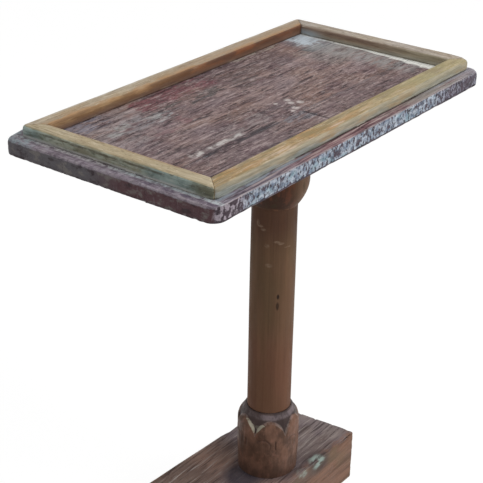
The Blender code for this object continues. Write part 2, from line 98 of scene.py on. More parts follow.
# Sizes of the cells that a surface is cut into
PLANK_CELL = (0.008, 0.002, 0.003)
RAIL_CELL = 0.0022
RAIL_CELL_ALONG = 0.006
UNDERSIDE_CELL = (0.0035, 0.008, 0.0045)
BLOCK_CELL = (0.008, 0.0022, 0.004)

# Wear of boards, as wear_board takes it: chips, waves and ridges, the least chip and the bareness
PLANK_CHIPS = (0.0012, 0.010, 0.005, 7.3)
PLANK_WAVES = (0.00018, 0.110, 0.045, 3.1)
PLANK_RIDGES = (0.00020, 0.045, 0.0035, 5.7)
PLANK_WEAR = (PLANK_CHIPS, PLANK_WAVES, PLANK_RIDGES, 0.05, (0.35, 2.0))
RAIL_CHIPS = (0.0008, 0.022, 0.007, 2.9)
RAIL_WAVES = (0.00022, 0.090, 0.030, 1.7)
RAIL_RIDGES = (0.00012, 0.060, 0.004, 4.3)
RAIL_WEAR = (RAIL_CHIPS, RAIL_WAVES, RAIL_RIDGES, 0.1, (0.4, 1.6))
UNDERSIDE_CHIPS = (0.0016, 0.020, 0.008, 2.3)
UNDERSIDE_WAVES = (0.00022, 0.090, 0.030, 1.9)
NO_RIDGES = (0.0, 1.0, 1.0, 0.0)
UNDERSIDE_WEAR = (UNDERSIDE_CHIPS, UNDERSIDE_WAVES, NO_RIDGES, 0.0, (0.3, 1.0))
BOARD_EDGE = 0.005
BLOCK_EDGE = 0.012

# Worn corners of the tray and the rim, joints between boards, and mesh steps
TRAY_CORNER = 0.016
RIM_CORNER = 0.014
CORNER_ROUND = 0.006
CORNER_FADE = 0.020
JOINT_REACH = 0.0014
JOINT_CREASE = 0.0004
WELD = 0.00001
COLUMN_STEPS = 144
COLLAR_STEPS = 252
SHARP_ANGLE = math.radians(50.0)

# The way to the right of the photograph, in X and Y
PHOTO_RIGHT = (0.59, -0.81)


def smooth_step(low, high, value):
    share = min(max((value - low) / (high - low), 0.0), 1.0)
    return share * share * (3 - 2 * share)


def grain_noise(place, run, along, across, seed):
    """Noise from -1 to 1, drawn out along the axis run of the grain."""
    scaled = place / across
    scaled[run] = place[run] / along
    scaled[(run + 1) % 3] += seed
    return noise.noise(scaled)


def edge_nearness(place, low, high, reach):
    """1 on an edge of the box from low to high, 0 from reach away."""
    gaps = sorted(min(place[i] - low[i], high[i] - place[i]) for i in range(3))
    return max(0.0, 1 - (max(gaps[0], 0.0) + max(gaps[1], 0.0)) / reach)


def slice_faces(shape, faces, axis, planes):
    """Cuts faces along each of the planes across one axis, the middle plane first."""
    if not planes or not faces:
        return
    middle = len(planes) // 2
    normal = Vector((0.0, 0.0, 0.0))
    normal[axis] = 1.0
    pieces = set(faces)
    for face in faces:
        pieces.update(face.edges)
        pieces.update(face.verts)
    cut = bmesh.ops.bisect_plane(
        shape, geom=list(pieces), dist=WELD / 10, plane_co=normal * planes[middle], plane_no=normal
    )
    below, above = [], []
    for piece in cut["geom"]:
        if isinstance(piece, bmesh.types.BMFace):
            side = below if piece.calc_center_median()[axis] < planes[middle] else above
            side.append(piece)
    slice_faces(shape, below, axis, planes[:middle])
    slice_faces(shape, above, axis, planes[middle + 1 :])


def diced(node, cell):
    """A copy of a node's surface, cut into a grid of cells that can be worn."""
    shape = bmesh.new()
    shape.from_mesh(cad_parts[node].data)
    bmesh.ops.remove_doubles(shape, verts=shape.verts, dist=WELD)
    low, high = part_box(node)
    for axis in range(3):
        count = max(1, round((high[axis] - low[axis]) / cell[axis]))
        step = (high[axis] - low[axis]) / count
        slice_faces(shape, list(shape.faces), axis, [low[axis] + step * i for i in range(1, count)])
    bmesh.ops.recalc_face_normals(shape, faces=shape.faces)
    shape.normal_update()
    return shape


def put(name, data):
    """Puts a mesh, a lamp or a camera into the scene."""
    thing = bpy.data.objects.new(name, data)
    bpy.context.scene.collection.objects.link(thing)
    return thing


def dress(name, shape, material, slot, *nodes):
    """Makes a finished piece of a shape. It stands for the nodes and rides with them."""
    mesh = bpy.data.meshes.new(name)
    shape.to_mesh(mesh)
    shape.free()
    mesh.shade_smooth()
    mesh.materials.append(material)
    piece = put(name, mesh)
    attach(piece, "root")
    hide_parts(*nodes)
    return piece


def wear_down(shape, depth_at):
    """Moves each point inwards, and keeps its bareness for the finish.

    depth_at(place) gives (depth, bareness).
    """
    bare = shape.verts.layers.float.new("bare")
    moves = []
    for vert in shape.verts:
        depth, bareness = depth_at(vert.co)
        moves.append((vert, vert.normal * -depth))
        vert[bare] = bareness
    for vert, move in moves:
        vert.co += move


def wear_board(shape, run, box, seed, chips, waves, ridges, least_chip, bareness):
    """Wears down a board whose grain runs along the axis run.

    Chips at its edges, long waves and ridges of grain are each (depth, length, width, seed step).
    Noise below least_chip leaves no chip. bareness is how bare an edge is, and how much barer a chip.
    """

    def draw(place, length, width, seed_step):
        return grain_noise(place, run, length, width, seed_step * seed)

    def depth_at(place):
        near = edge_nearness(place, *box, BOARD_EDGE)
        chip = max(0.0, draw(place, *chips[1:]) - least_chip)
        depth = waves[0] * draw(place, *waves[1:]) + ridges[0] * draw(place, *ridges[1:])
        return depth + chips[0] * near * chip, near * (bareness[0] + bareness[1] * chip)

    wear_down(shape, depth_at)


def fill_joint(shape):
    """Brings the arrises along a joint between two boards out to a shallow crease."""
    for vert in shape.verts:
        at_joint = min(abs(vert.co.y - BACK_JOINT), abs(vert.co.y - FRONT_JOINT)) < JOINT_REACH
        at_butt = abs(vert.co.x - BUTT_JOINT) < JOINT_REACH and vert.co.y < FRONT_JOINT
        if (at_joint or at_butt) and vert.co.z > TRAY_FLOOR - JOINT_REACH:
            vert.co.z = max(vert.co.z, TRAY_FLOOR - JOINT_CREASE)
        if at_joint and vert.co.x < TRAY_LOW.x + JOINT_REACH:
            vert.co.x = min(vert.co.x, TRAY_LOW.x + JOINT_CREASE)
        if at_joint and vert.co.x > TRAY_HIGH.x - JOINT_REACH:
            vert.co.x = max(vert.co.x, TRAY_HIGH.x - JOINT_CREASE)


def worn_place(place, low, high, corner):
    """Where a point goes as the top arris rounds off at the two corners out to the sides."""
    off = place - (low + high) / 2
    over_x = abs(off.x) - (high.x - low.x) / 2 + corner
    over_y = abs(off.y) - (high.y - low.y) / 2 + corner
    share = smooth_step(-CORNER_FADE, 0.0, over_x) * smooth_step(-CORNER_FADE, 0.0, over_y)
    reach = CORNER_ROUND * share
    if off.x * off.y > 0 or reach < CORNER_ROUND / 10:
        return place
    if over_x > 0 and over_y > 0:
        outwards = Vector((math.copysign(over_x, off.x), math.copysign(over_y, off.y), 0.0))
    elif over_x > over_y:
        outwards = Vector((math.copysign(over_x, off.x), 0.0, 0.0))
    else:
        outwards = Vector((0.0, math.copysign(over_y, off.y), 0.0))
    across = reach - corner + outwards.length
    up = reach - high.z + place.z
    if across <= 0 or up <= 0:
        return place
    loss = 1 - max(across, up) / math.hypot(across, up)
    return place - outwards.normalized() * across * loss - Vector((0.0, 0.0, up * loss))


def round_corners(shape, low, high, corner):
    """Wears the top arris of a shape at two corners of the box from low to high."""
    for vert in shape.verts:
        vert.co = worn_place(vert.co, low, high, corner)
    shape.normal_update()


def make_planks(material):
    """Boards with raised grain and slightly chipped outer edges."""
    for seed, node in enumerate(PLANKS, start=1):
        shape = diced(node, PLANK_CELL)
        fill_joint(shape)
        round_corners(shape, TRAY_LOW, TRAY_HIGH, TRAY_CORNER)
        wear_board(shape, 0, (TRAY_LOW, TRAY_HIGH), seed, *PLANK_WEAR)
        dress("worn_" + node, shape, material, "painted_plank", node)


def make_rails(materials):
    """Rim rails with rubbed arrises and a few bruises."""
    for seed, node in enumerate(RAILS, start=11):
        low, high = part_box(node)
        run = 0 if high.x - low.x > high.y - low.y else 1
        cell = [RAIL_CELL, RAIL_CELL, RAIL_CELL]
        cell[run] = RAIL_CELL_ALONG
        shape = diced(node, cell)
        if node in ("front_rail", "right_rail"):
            round_corners(shape, RIM_LOW, RIM_HIGH, RIM_CORNER)
        wear_board(shape, run, (low, high), seed, *RAIL_WEAR)
        dress("worn_" + node, shape, materials[node], "rail_wood", node)


def make_underside(material):
    """Battens and plate under the boards: plain planed wood with rubbed arrises."""
    for seed, node in enumerate(("left_batten", "right_batten", "top_plate"), start=31):
        shape = diced(node, UNDERSIDE_CELL)
        wear_board(shape, 1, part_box(node), seed, *UNDERSIDE_WEAR)
        dress("worn_" + node, shape, material, "batten_wood", node)


def make_block(material):
    """The hewn block: uneven faces, raised grain, drying cracks and battered edges."""
    shape = diced("base_block", BLOCK_CELL)

    def depth_at(place):
        near = edge_nearness(place, BLOCK_LOW, BLOCK_HIGH, BLOCK_EDGE)
        at_front = smooth_step(BLOCK_LOW.y + 0.020, BLOCK_LOW.y, place.y)
        at_front *= smooth_step(BLOCK_HIGH.z - 0.020, BLOCK_HIGH.z, place.z)
        chips = max(0.0, grain_noise(place, 0, 0.030, 0.012, 61.0))
        waves = grain_noise(place, 0, 0.100, 0.040, 62.0)
        ridges = grain_noise(place, 0, 0.080, 0.0045, 63.0)
        crack_line = abs(grain_noise(place, 0, 0.170, 0.022, 64.0))
        cracks = smooth_step(0.045, 0.0, crack_line)
        battered = near * chips * (0.0008 + 0.0030 * at_front)
        depth = 0.0004 * waves + 0.0004 * ridges + battered + 0.0014 * cracks
        depth *= smooth_step(0.0, 0.004, place.z)
        return depth, near * (0.3 + 1.5 * chips)

    wear_down(shape, depth_at)
    dress("hewn_base_block", shape, material, "block_wood", "base_block")


def turned(profile, steps, closed, point_at):
    """A turned shape on the post's axis.

    point_at(angle, row) gives (radius, height, bareness, carving).
    """
    shape = bmesh.new()
    bare = shape.verts.layers.float.new("bare")
    carved = shape.verts.layers.float.new("carved")
    rings = []
    for row in profile:
        count = 1 if row[0] == 0 else steps
        ring = []
        for step in range(count):
            angle = math.tau * step / steps
            radius, height, bareness, carving = point_at(angle, row)
            place = (AXIS.x + radius * math.cos(angle), AXIS.y + radius * math.sin(angle), height)
            vert = shape.verts.new(place)
            vert[bare] = bareness
            vert[carved] = carving
            ring.append(vert)
        rings.append(ring)
    pairs = list(zip(rings, rings[1:]))
    if closed:
        pairs.append((rings[-1], rings[0]))
    for upper, lower in pairs:
        for step in range(steps):
            after = (step + 1) % steps
            corners = [upper[step % len(upper)], lower[step % len(lower)]]
            corners += [lower[after % len(lower)], upper[after % len(upper)]]
            shape.faces.new(list(dict.fromkeys(corners)))
    bmesh.ops.recalc_face_normals(shape, faces=shape.faces)
    return shape


def spaced(start, end, step):
    """Values from start to end, both included, about step apart."""
    count = max(1, round(abs(end - start) / step))
    return [start + (end - start) * i / count for i in range(count + 1)]


def off_axis(angle, radius, height):
    """A place on a turned piece, from the foot of its axis."""
    around = Vector((math.cos(angle), math.sin(angle), 0.0)) * radius
    return around + Vector((0.0, 0.0, height))


def mark_turned_edges(piece):
    piece.data.set_sharp_from_angle(angle=SHARP_ANGLE)


def make_post(material):
    """A plain shaft, a little uneven from the lathe and from use, between its two tenons."""
    top, low = POST_HIGH.z, POST_LOW.z
    shaft_top = CAPITAL_LOW.z - SEAT_GAP
    shaft_bottom = COLLAR_HIGH.z + SEAT_GAP
    inner = TENON_RADIUS - TENON_CHAMFER
    profile = [(0.0, top), (inner, top), (TENON_RADIUS, top - TENON_CHAMFER), (TENON_RADIUS, shaft_top)]
    profile += [(POST_RADIUS, z) for z in spaced(shaft_top, shaft_bottom, 0.005)]
    profile += [(TENON_RADIUS, shaft_bottom), (TENON_RADIUS, low + TENON_CHAMFER), (inner, low)]
    bore_end = low + BOLT_BORE_DEPTH
    profile += [(BOLT_BORE_RADIUS, low), (BOLT_BORE_RADIUS, bore_end), (0.0, bore_end)]

    def point_at(angle, row):
        radius, height = row
        if radius == POST_RADIUS:
            place = off_axis(angle, POST_RADIUS, height)
            radius += 0.00025 * grain_noise(place, 2, 0.140, 0.025, 41.0)
            radius += 0.00012 * grain_noise(place, 2, 0.070, 0.004, 42.0)
        return radius, height, 0.0, 0.0

    shape = turned(profile, COLUMN_STEPS, False, point_at)
    mark_turned_edges(dress("worn_post", shape, material, "post_wood", "post"))


def make_capital(material):
    """A plain swelling under the tray."""
    low, high = CAPITAL_LOW.z, CAPITAL_HIGH.z
    profile = [(BORE_RADIUS, high)]
    profile += [(CAPITAL_RADIUS, z) for z in spaced(high, low + CAPITAL_SWELL, 0.004)]
    for drop in spaced(0.0, 1.0, 0.05)[1:]:
        radius = CAPITAL_RADIUS - (CAPITAL_RADIUS - CAPITAL_LIP_RADIUS) * drop**2
        profile.append((radius, low + CAPITAL_SWELL * (1 - drop)))
    profile.append((BORE_RADIUS, low))

    def point_at(angle, row):
        radius, height = row
        if radius > BORE_RADIUS:
            place = off_axis(angle, radius, height)
            radius += 0.0003 * grain_noise(place, 2, 0.080, 0.022, 45.0)
        return radius, height, 0.0, 0.0

    shape = turned(profile, COLUMN_STEPS, True, point_at)
    mark_turned_edges(dress("worn_capital", shape, material, "post_wood", "capital"))


def petal_depth(offset, height):
    """How far a point lies inside a petal, from the nearest cleft. It is negative in the cleft."""
    half_width = math.sin(math.pi / PETAL_COUNT)
    share = min(abs(math.sin(offset)) / half_width, 1.0) ** (1 / PETAL_FLARE)
    low = COLLAR_HIGH.z - PETAL_CLEFT_DROP
    high = COLLAR_HIGH.z - PETAL_TIP_DROP
    edge = low + (high - low) * math.sin(share * math.pi / 2)
    rise = (high - low) * math.pi / 2 * math.cos(share * math.pi / 2)
    slope = rise / (COLLAR_RADIUS * half_width * PETAL_FLARE * max(share, 0.15) ** (PETAL_FLARE - 1))
    return (edge - height) / math.hypot(1.0, slope)


def leaf_groove(offset, height):
    """Shallow carving on a petal, as a depth from 0 to 1: an upright slit and a curled vein."""
    across = offset * COLLAR_RADIUS
    up = height - COLLAR_LOW.z
    slit = smooth_step(0.0016, 0.0004, abs(across - 0.0075))
    slit *= smooth_step(0.0030, 0.0, abs(up - 0.054) - 0.0055)
    curl = abs(math.hypot(across + 0.0095, up - 0.053) - 0.0100)
    vein = smooth_step(0.0020, 0.0004, curl) * smooth_step(0.042, 0.052, up + 0.6 * across)
    return max(slit, 0.6 * vein)


def make_collar(material):
    """The foot ring: six petals stand proud of its shoulder, with a chipped bevel along each cleft."""
    top, bottom = COLLAR_HIGH.z, COLLAR_LOW.z
    shoulder = top - SHOULDER
    petal_top = top - PETAL_TIP_DROP / 2
    bare_radius = COLLAR_RADIUS - PETAL_RELIEF
    middle = (bottom + shoulder) / 2
    rows = []
    for drop in spaced(0.0, 1.0, 0.04):
        share = 1 - (1 - drop) ** SHOULDER_POWER
        core = (LIP_RADIUS + (bare_radius - LIP_RADIUS) * share, top - SHOULDER * drop)
        petal_height = petal_top - (petal_top - shoulder) * drop
        rows.append((core, (LIP_RADIUS + (COLLAR_RADIUS - LIP_RADIUS) * share, petal_height)))
    for z in spaced(shoulder, middle, 0.0011)[1:]:
        rows.append(((bare_radius, z), (COLLAR_RADIUS, z)))
    for z in spaced(middle, bottom, 0.0015)[1:]:
        radius = COLLAR_RADIUS + (COLLAR_FOOT_RADIUS - COLLAR_RADIUS) * (middle - z) / (middle - bottom)
        rows.append(((radius, z), (radius, z)))
    bore = [((BORE_RADIUS, bottom), None), ((BORE_RADIUS, top), None)]

    def point_at(angle, row):
        core, petal = row
        if petal is None:
            return core[0], core[1], 0.0, 0.0
        place = off_axis(angle, COLLAR_RADIUS, core[1])
        sector = math.tau / PETAL_COUNT
        from_cleft = (angle - PETAL_TURN + sector / 2) % sector - sector / 2
        from_middle = (angle - PETAL_TURN) % sector - sector / 2
        ragged = 0.0012 * grain_noise(place, 2, 0.012, 0.006, 51.0)
        inside = petal_depth(from_cleft, core[1]) + ragged
        chamfer = PETAL_CHAMFER * (1.0 + 0.9 * grain_noise(place, 2, 0.030, 0.018, 52.0))
        rise = min(max(inside / chamfer, 0.0), 1.0)
        radius = core[0] + (petal[0] - core[0]) * rise
        height = core[1] + (petal[1] - core[1]) * rise
        groove = leaf_groove(from_middle, height) * smooth_step(0.0, 0.004, inside)
        radius -= 0.0011 * groove
        gouge = max(0.0, grain_noise(place, 2, 0.013, 0.009, 55.0) - 0.12)
        gouge *= smooth_step(0.0, 0.006, inside) * smooth_step(bottom, bottom + 0.008, height)
        radius -= 0.0010 * gouge
        radius += 0.0004 * grain_noise(place, 2, 0.040, 0.016, 53.0)
        radius += 0.00018 * grain_noise(place, 2, 0.030, 0.003, 54.0)
        return radius, height, rise, min(1.0, groove + 0.5 * gouge)

    shape = turned(rows + bore, COLLAR_STEPS, True, point_at)
    mark_turned_edges(dress("carved_base_collar", shape, material, "collar_wood", "base_collar"))


def srgb(code):
    """A screen colour, such as #8a7066, as a linear colour."""
    channels = []
    for start in (1, 3, 5):
        value = int(code[start : start + 2], 16) / 255
        channels.append(value / 12.92 if value <= 0.04045 else ((value + 0.055) / 1.055) ** 2.4)
    return (*channels, 1.0)


class Field:
    """A value that varies over a surface: what a shader node gives."""

    def __init__(self, finish, socket):
        self.finish = finish
        self.socket = socket

    def __add__(self, other):
        return self.finish.math("ADD", self, other)

    def __sub__(self, other):
        return self.finish.math("SUBTRACT", self, other)

    def __rsub__(self, other):
        return self.finish.math("SUBTRACT", other, self)

    def __mul__(self, other):
        return self.finish.math("MULTIPLY", self, other)

    def __truediv__(self, other):
        return self.finish.math("DIVIDE", self, other)

    def __abs__(self):
        return self.finish.math("ABSOLUTE", self)

    def root(self):
        return self.finish.math("SQRT", self)

    def most(self, other):
        return self.finish.math("MAXIMUM", self, other)

    def ramp(self, low, high, to_low=0.0, to_high=1.0):
        """Goes smoothly from to_low at low to to_high at high. low may be above high."""
        if low > high:
            low, high, to_low, to_high = high, low, to_high, to_low
        spans = (low, high, to_low, to_high)
        node = self.finish.node("MapRange", self, *spans, interpolation_type="SMOOTHSTEP")
        return Field(self.finish, node.outputs[0])

    def window(self, low, high, soft):
        """1 between low and high, fading to 0 over soft outside them."""
        return self.ramp(low - soft, low) * self.ramp(high + soft, high)

    def coat(self, low, high, first, second):
        """A coat that goes from one paint at low to another at high."""
        return Coat(self.finish, self.finish.mix(self.ramp(low, high), first, second))


class Coat:
    """A colour over a surface. A paint to lay on it is another coat, or a screen colour."""

    def __init__(self, finish, socket):
        self.finish = finish
        self.socket = socket

    def lay(self, paint, mask):
        """Lays a paint over it, as thick as mask says."""
        self.socket = self.finish.mix(mask, self, paint)

    def shade(self, amount):
        """Multiplies it by a grey amount."""
        grey = self.finish.node("CombineColor", amount, amount, amount)
        self.socket = self.finish.mix(1.0, self, grey.outputs[0], "MULTIPLY")


class Nodes:
    """The shader nodes of a material or of the world."""

    def __init__(self, owner):
        owner.use_nodes = True
        self.nodes = owner.node_tree.nodes
        self.links = owner.node_tree.links

    def feed(self, socket, value):
        value = getattr(value, "socket", value)
        if isinstance(value, bpy.types.NodeSocket):
            self.links.new(value, socket)
        else:
            socket.default_value = value

    def node(self, kind, *values, **settings):
        """A shader node with these settings. The values go to its first sockets."""
        node = self.nodes.new("ShaderNode" + kind)
        for name, setting in settings.items():
            setattr(node, name, setting)
        for socket, value in zip(node.inputs, values):
            self.feed(socket, value)
        return node

    def wire(self, node, values):
        """Feeds sockets of a node by their names."""
        for name, value in values.items():
            self.feed(node.inputs[name], value)

    def seen_directly(self):
        """1 for rays from the camera, or mirrored or bent to it, and 0 for rays that only carry light."""
        path = self.node("LightPath").outputs
        total = path["Is Camera Ray"]
        for name in ("Is Glossy Ray", "Is Transmission Ray"):
            total = self.node("Math", total, path[name], operation="MAXIMUM").outputs[0]
        return total


class Finish(Nodes):
    """A procedural material, built up from fields and coats."""

    def __init__(self, name):
        self.material = bpy.data.materials.new(name)
        super().__init__(self.material)
        self.shader = self.nodes["Principled BSDF"]
        self.place = self.node("TexCoord").outputs["Object"]
        self.x, self.y, self.z = self.split(self.place)
        facing = self.node("NewGeometry").outputs["Normal"]
        self.facing_x, self.facing_y, self.facing_z = self.split(facing)

    def split(self, vector):
        return [Field(self, output) for output in self.node("SeparateXYZ", vector).outputs]

    def math(self, operation, first, second=0.0):
        return Field(self, self.node("Math", first, second, operation=operation).outputs[0])

    def vector(self, operation, *values):
        return self.node("VectorMath", *values, operation=operation).outputs

    def noise(self, sizes, detail, roughness, shift):
        """Noise from 0 to 1, with features of about these sizes along X, Y and Z."""
        scale = [1 / size for size in sizes]
        scaled = self.vector("MULTIPLY_ADD", self.place, scale, (shift, shift, shift))
        node = self.node("TexNoise", scaled[0])
        self.wire(node, {"Scale": 1.0, "Detail": detail, "Roughness": roughness})
        return Field(self, node.outputs["Fac"])

    def streaks(self, run, length, width, *details):
        """Noise drawn out along one axis."""
        sizes = [width, width, width]
        sizes[run] = length
        return self.noise(sizes, *details)

    def attribute(self, name):
        return Field(self, self.node("Attribute", attribute_name=name).outputs["Fac"])

    def mix(self, mask, first, second, blend="MIX"):
        node = self.node("Mix", mask, data_type="RGBA", blend_type=blend)
        for socket, paint in zip(node.inputs[6:8], (first, second)):
            self.feed(socket, srgb(paint) if isinstance(paint, str) else paint)
        return node.outputs[2]

    def patch(self, x_span, y_span, soft):
        """1 over an area, fading to 0 over soft outside it."""
        return self.x.window(*x_span, soft) * self.y.window(*y_span, soft)

    def stain(self, x_span, y_span, soft, breakup, cover, gain):
        """A ragged remnant of paint.

        cover is how much of it is left, and gain how much breakup eats into it.
        """
        area = self.patch(x_span, y_span, soft)
        left = area * cover + (breakup - 0.5) * gain
        return left.ramp(0.42, 0.72) * area.ramp(0.0, 0.4)

    def spot(self, centre, wide, tall):
        """A small mark: 1 at centre, 0 from wide away across or tall away upwards."""
        shifted = self.vector("SUBTRACT", self.place, centre)
        scaled = self.vector("DIVIDE", shifted[0], (wide, wide, tall))
        return Field(self, self.vector("LENGTH", scaled[0])["Value"]).ramp(1.0, 0.4)

    def from_axis(self):
        """How far a place is from the post's axis."""
        gap_x = self.x - AXIS.x
        gap_y = self.y - AXIS.y
        return (gap_x * gap_x + gap_y * gap_y).root()

    def facing_right(self):
        """How much the surface faces the right of the photograph, from -1 to 1."""
        return self.facing_x * PHOTO_RIGHT[0] + self.facing_y * PHOTO_RIGHT[1]

    def close(self, colour, uneven, rough, height, bump, shine=0.22):
        """Wires colour, roughness and relief to the shader.

        rough is the roughness where the field uneven is low and where it is high.
        height is in units of bump metres.
        """
        roughness = uneven.ramp(0.35, 0.65, *rough)
        relief = self.node("Bump")
        self.wire(relief, {"Strength": 1.0, "Distance": bump, "Height": height})
        self.wire(self.shader, {"Base Color": colour, "Roughness": roughness})
        self.wire(self.shader, {"Specular IOR Level": shine, "Normal": relief.outputs[0]})
        return self.material


def plank_finish():
    """Worn maroon-brown boards with remains of paint, chipped and blue-white on the front edge."""
    f = Finish("worn_painted_plank")
    broad = f.streaks(0, 0.11, 0.018, 3.0, 0.55, 1.7)
    mottle = f.streaks(0, 0.07, 0.045, 2.0, 0.5, 6.6)
    long_grain = f.streaks(0, 0.13, 0.0042, 4.0, 0.6, 3.9)
    grain = f.streaks(0, 0.036, 0.004, 4.0, 0.62, 4.2)
    fleck = f.streaks(0, 0.011, 0.0052, 3.0, 0.6, 2.4)
    speck = f.streaks(0, 0.0062, 0.0026, 2.0, 0.6, 5.5)
    fibre = f.streaks(0, 0.02, 0.001, 3.0, 0.6, 9.1)
    ragged = f.streaks(0, 0.026, 0.007, 4.0, 0.65, 8.8)
    bare = f.attribute("bare")

    colour = broad.coat(0.36, 0.64, "#6c5556", "#937d7a")
    colour.lay("#8a7066", mottle.ramp(0.46, 0.64) * 0.7)
    colour.lay("#74656a", mottle.ramp(0.5, 0.34) * 0.6)
    near_reader = f.y.ramp(FRONT_JOINT + 0.002, FRONT_JOINT - 0.003)
    colour.lay("#68585c", near_reader * 0.4)
    shaded = f.stain((-0.04, 0.002), (-0.056, -0.03), 0.012, ragged, 0.62, 2.0)
    colour.lay("#54444a", shaded * 0.55)
    strip = f.patch((-0.185, -0.03), (-0.043, -0.028), 0.008) * ragged.ramp(0.32, 0.52)
    colour.lay("#58484d", strip * 0.6)
    paint_floor(f, colour, ragged)
    colour.lay("#423034", long_grain.ramp(0.47, 0.32) * 0.5)
    colour.lay("#a09090", long_grain.ramp(0.57, 0.72) * 0.3)
    colour.lay("#382a2e", grain.ramp(0.48, 0.35) * 0.92)
    colour.lay("#b09e9c", grain.ramp(0.54, 0.67) * 0.7)
    colour.lay("#b2a3a1", fleck.ramp(0.56, 0.72) * 0.48)
    colour.lay("#3d2e30", fleck.ramp(0.44, 0.3) * 0.64)
    patchy = f.streaks(0, 0.045, 0.016, 2.0, 0.5, 9.7).ramp(0.36, 0.64, 0.45, 1.0)
    colour.lay("#382a2c", speck.ramp(0.45, 0.32) * patchy * 0.84)
    colour.lay("#baaca9", speck.ramp(0.57, 0.7) * patchy * 0.54)
    dirty_joints(f, colour, ragged)
    paint_white(f, colour, ragged, fleck)
    paint_ledge(f, colour, broad, grain, fleck, ragged)
    arris = f.y.ramp(TRAY_LOW.y + 0.004, TRAY_LOW.y + 0.001) * ragged.ramp(0.38, 0.56)
    colour.lay("#aca6aa", arris * 0.55)
    chipped = paint_sides(f, colour, ragged)
    below = f.facing_z.ramp(-0.5, -0.85)
    plain = grain.coat(0.35, 0.65, "#544236", "#7a6452")
    colour.lay(plain, below)
    rubbed = (bare + ragged * 0.6).ramp(0.6, 1.0) * (1.0 - below)
    colour.lay("#a49c9e", rubbed * 0.35)
    colour.shade(fibre.ramp(0.25, 0.75, 0.76, 1.22))
    height = grain * 0.9 + fibre * 0.4 + chipped * 0.8
    return f.close(colour, ragged, (0.78, 0.56), height, 0.0009)


# Remains of paint on the floor, as (x span, y span, soft edge, cover, gain, strength, colour)
FLOOR_STAINS = (
    ((-0.112, 0.02), (0.086, 0.106), 0.016, 0.68, 3.4, 0.72, "#7a444c"),  # red
    ((-0.17, -0.11), (0.02, 0.04), 0.014, 0.58, 3.4, 0.5, "#86585c"),  # faint red
    ((-0.225, -0.17), (0.092, 0.118), 0.014, 0.62, 3.4, 0.65, "#7a7a8a"),  # violet
    ((-0.19, -0.134), (0.054, 0.074), 0.012, 0.62, 4.0, 0.2, "#9ca0a2"),  # blue
    ((-0.128, -0.104), (0.052, 0.066), 0.012, 0.52, 5.0, 0.9, "#9e9c9d"),  # faint blue
    ((-0.086, 0.0), (0.058, 0.072), 0.012, 0.6, 4.0, 0.85, "#46403e"),  # soot
    ((0.034, 0.066), (0.044, 0.07), 0.012, 0.52, 4.0, 0.55, "#524a48"),  # far soot
    ((-0.034, BUTT_JOINT), (-0.078, FRONT_JOINT), 0.008, 0.66, 3.0, 0.6, "#7a808a"),  # short blue
    ((0.008, 0.034), (-0.069, FRONT_JOINT), 0.006, 0.66, 3.0, 0.65, "#a08c88"),  # pink
    ((0.046, 0.078), (-0.052, -0.032), 0.01, 0.64, 3.0, 0.55, "#88665a"),  # rust
    ((-0.142, -0.118), (-0.097, -0.078), 0.008, 0.7, 2.4, 0.7, "#543a42"),  # maroon
)
# Blobs of paint on the floor, as (x, y, reach): grey ones on the far left, white ones by the butt joint
PALE_BLOBS = (
    (-0.179, 0.068, 0.009),
    (-0.166, 0.069, 0.009),
    (-0.130, 0.063, 0.008),
    (-0.120, 0.061, 0.007),
    (-0.201, 0.060, 0.008),
    (-0.191, 0.058, 0.008),
)
WHITE_BLOBS = (
    (0.003, -0.022, 0.0040),
    (0.023, -0.025, 0.0060),
    (0.018, -0.034, 0.0060),
    (0.028, -0.041, 0.0065),
    (0.008, -0.048, 0.0065),
    (-0.003, -0.052, 0.0040),
)


def paint_floor(f, colour, ragged):
    """Remains of red, blue and white paint on the tray's floor."""
    pale_left = f.patch((-0.24, -0.14), (0.03, 0.12), 0.03) * ragged.ramp(0.34, 0.56)
    colour.lay("#9a989c", pale_left * 0.44)
    for x_span, y_span, soft, cover, gain, strength, shade in FLOOR_STAINS:
        colour.lay(shade, f.stain(x_span, y_span, soft, ragged, cover, gain) * strength)
    grey = f.patch((0.185, 0.27), (0.015, 0.058), 0.022)
    colour.lay("#888380", grey * 0.55)
    far_dim = f.patch((0.04, 0.15), (0.08, 0.12), 0.026) * ragged.ramp(0.32, 0.54)
    colour.lay("#564648", far_dim * 0.65)
    teal = f.stain((0.2, 0.256), (0.06, 0.072), 0.01, ragged, 0.76, 2.4)
    colour.lay("#585e5f", teal * 0.85)
    at_back = (INNER_HIGH.y - 0.003, INNER_HIGH.y + 0.004)
    back_foot = f.stain((0.085, 0.225), at_back, 0.004, ragged, 0.66, 3.0)
    colour.lay("#b0a89a", back_foot * 0.75)
    left_foot = f.x.ramp(INNER_LOW.x + 0.026, INNER_LOW.x + 0.01) * f.y.window(-0.045, 0.03, 0.02)
    colour.lay("#8c5842", left_foot * ragged.ramp(0.36, 0.56) * 0.6)


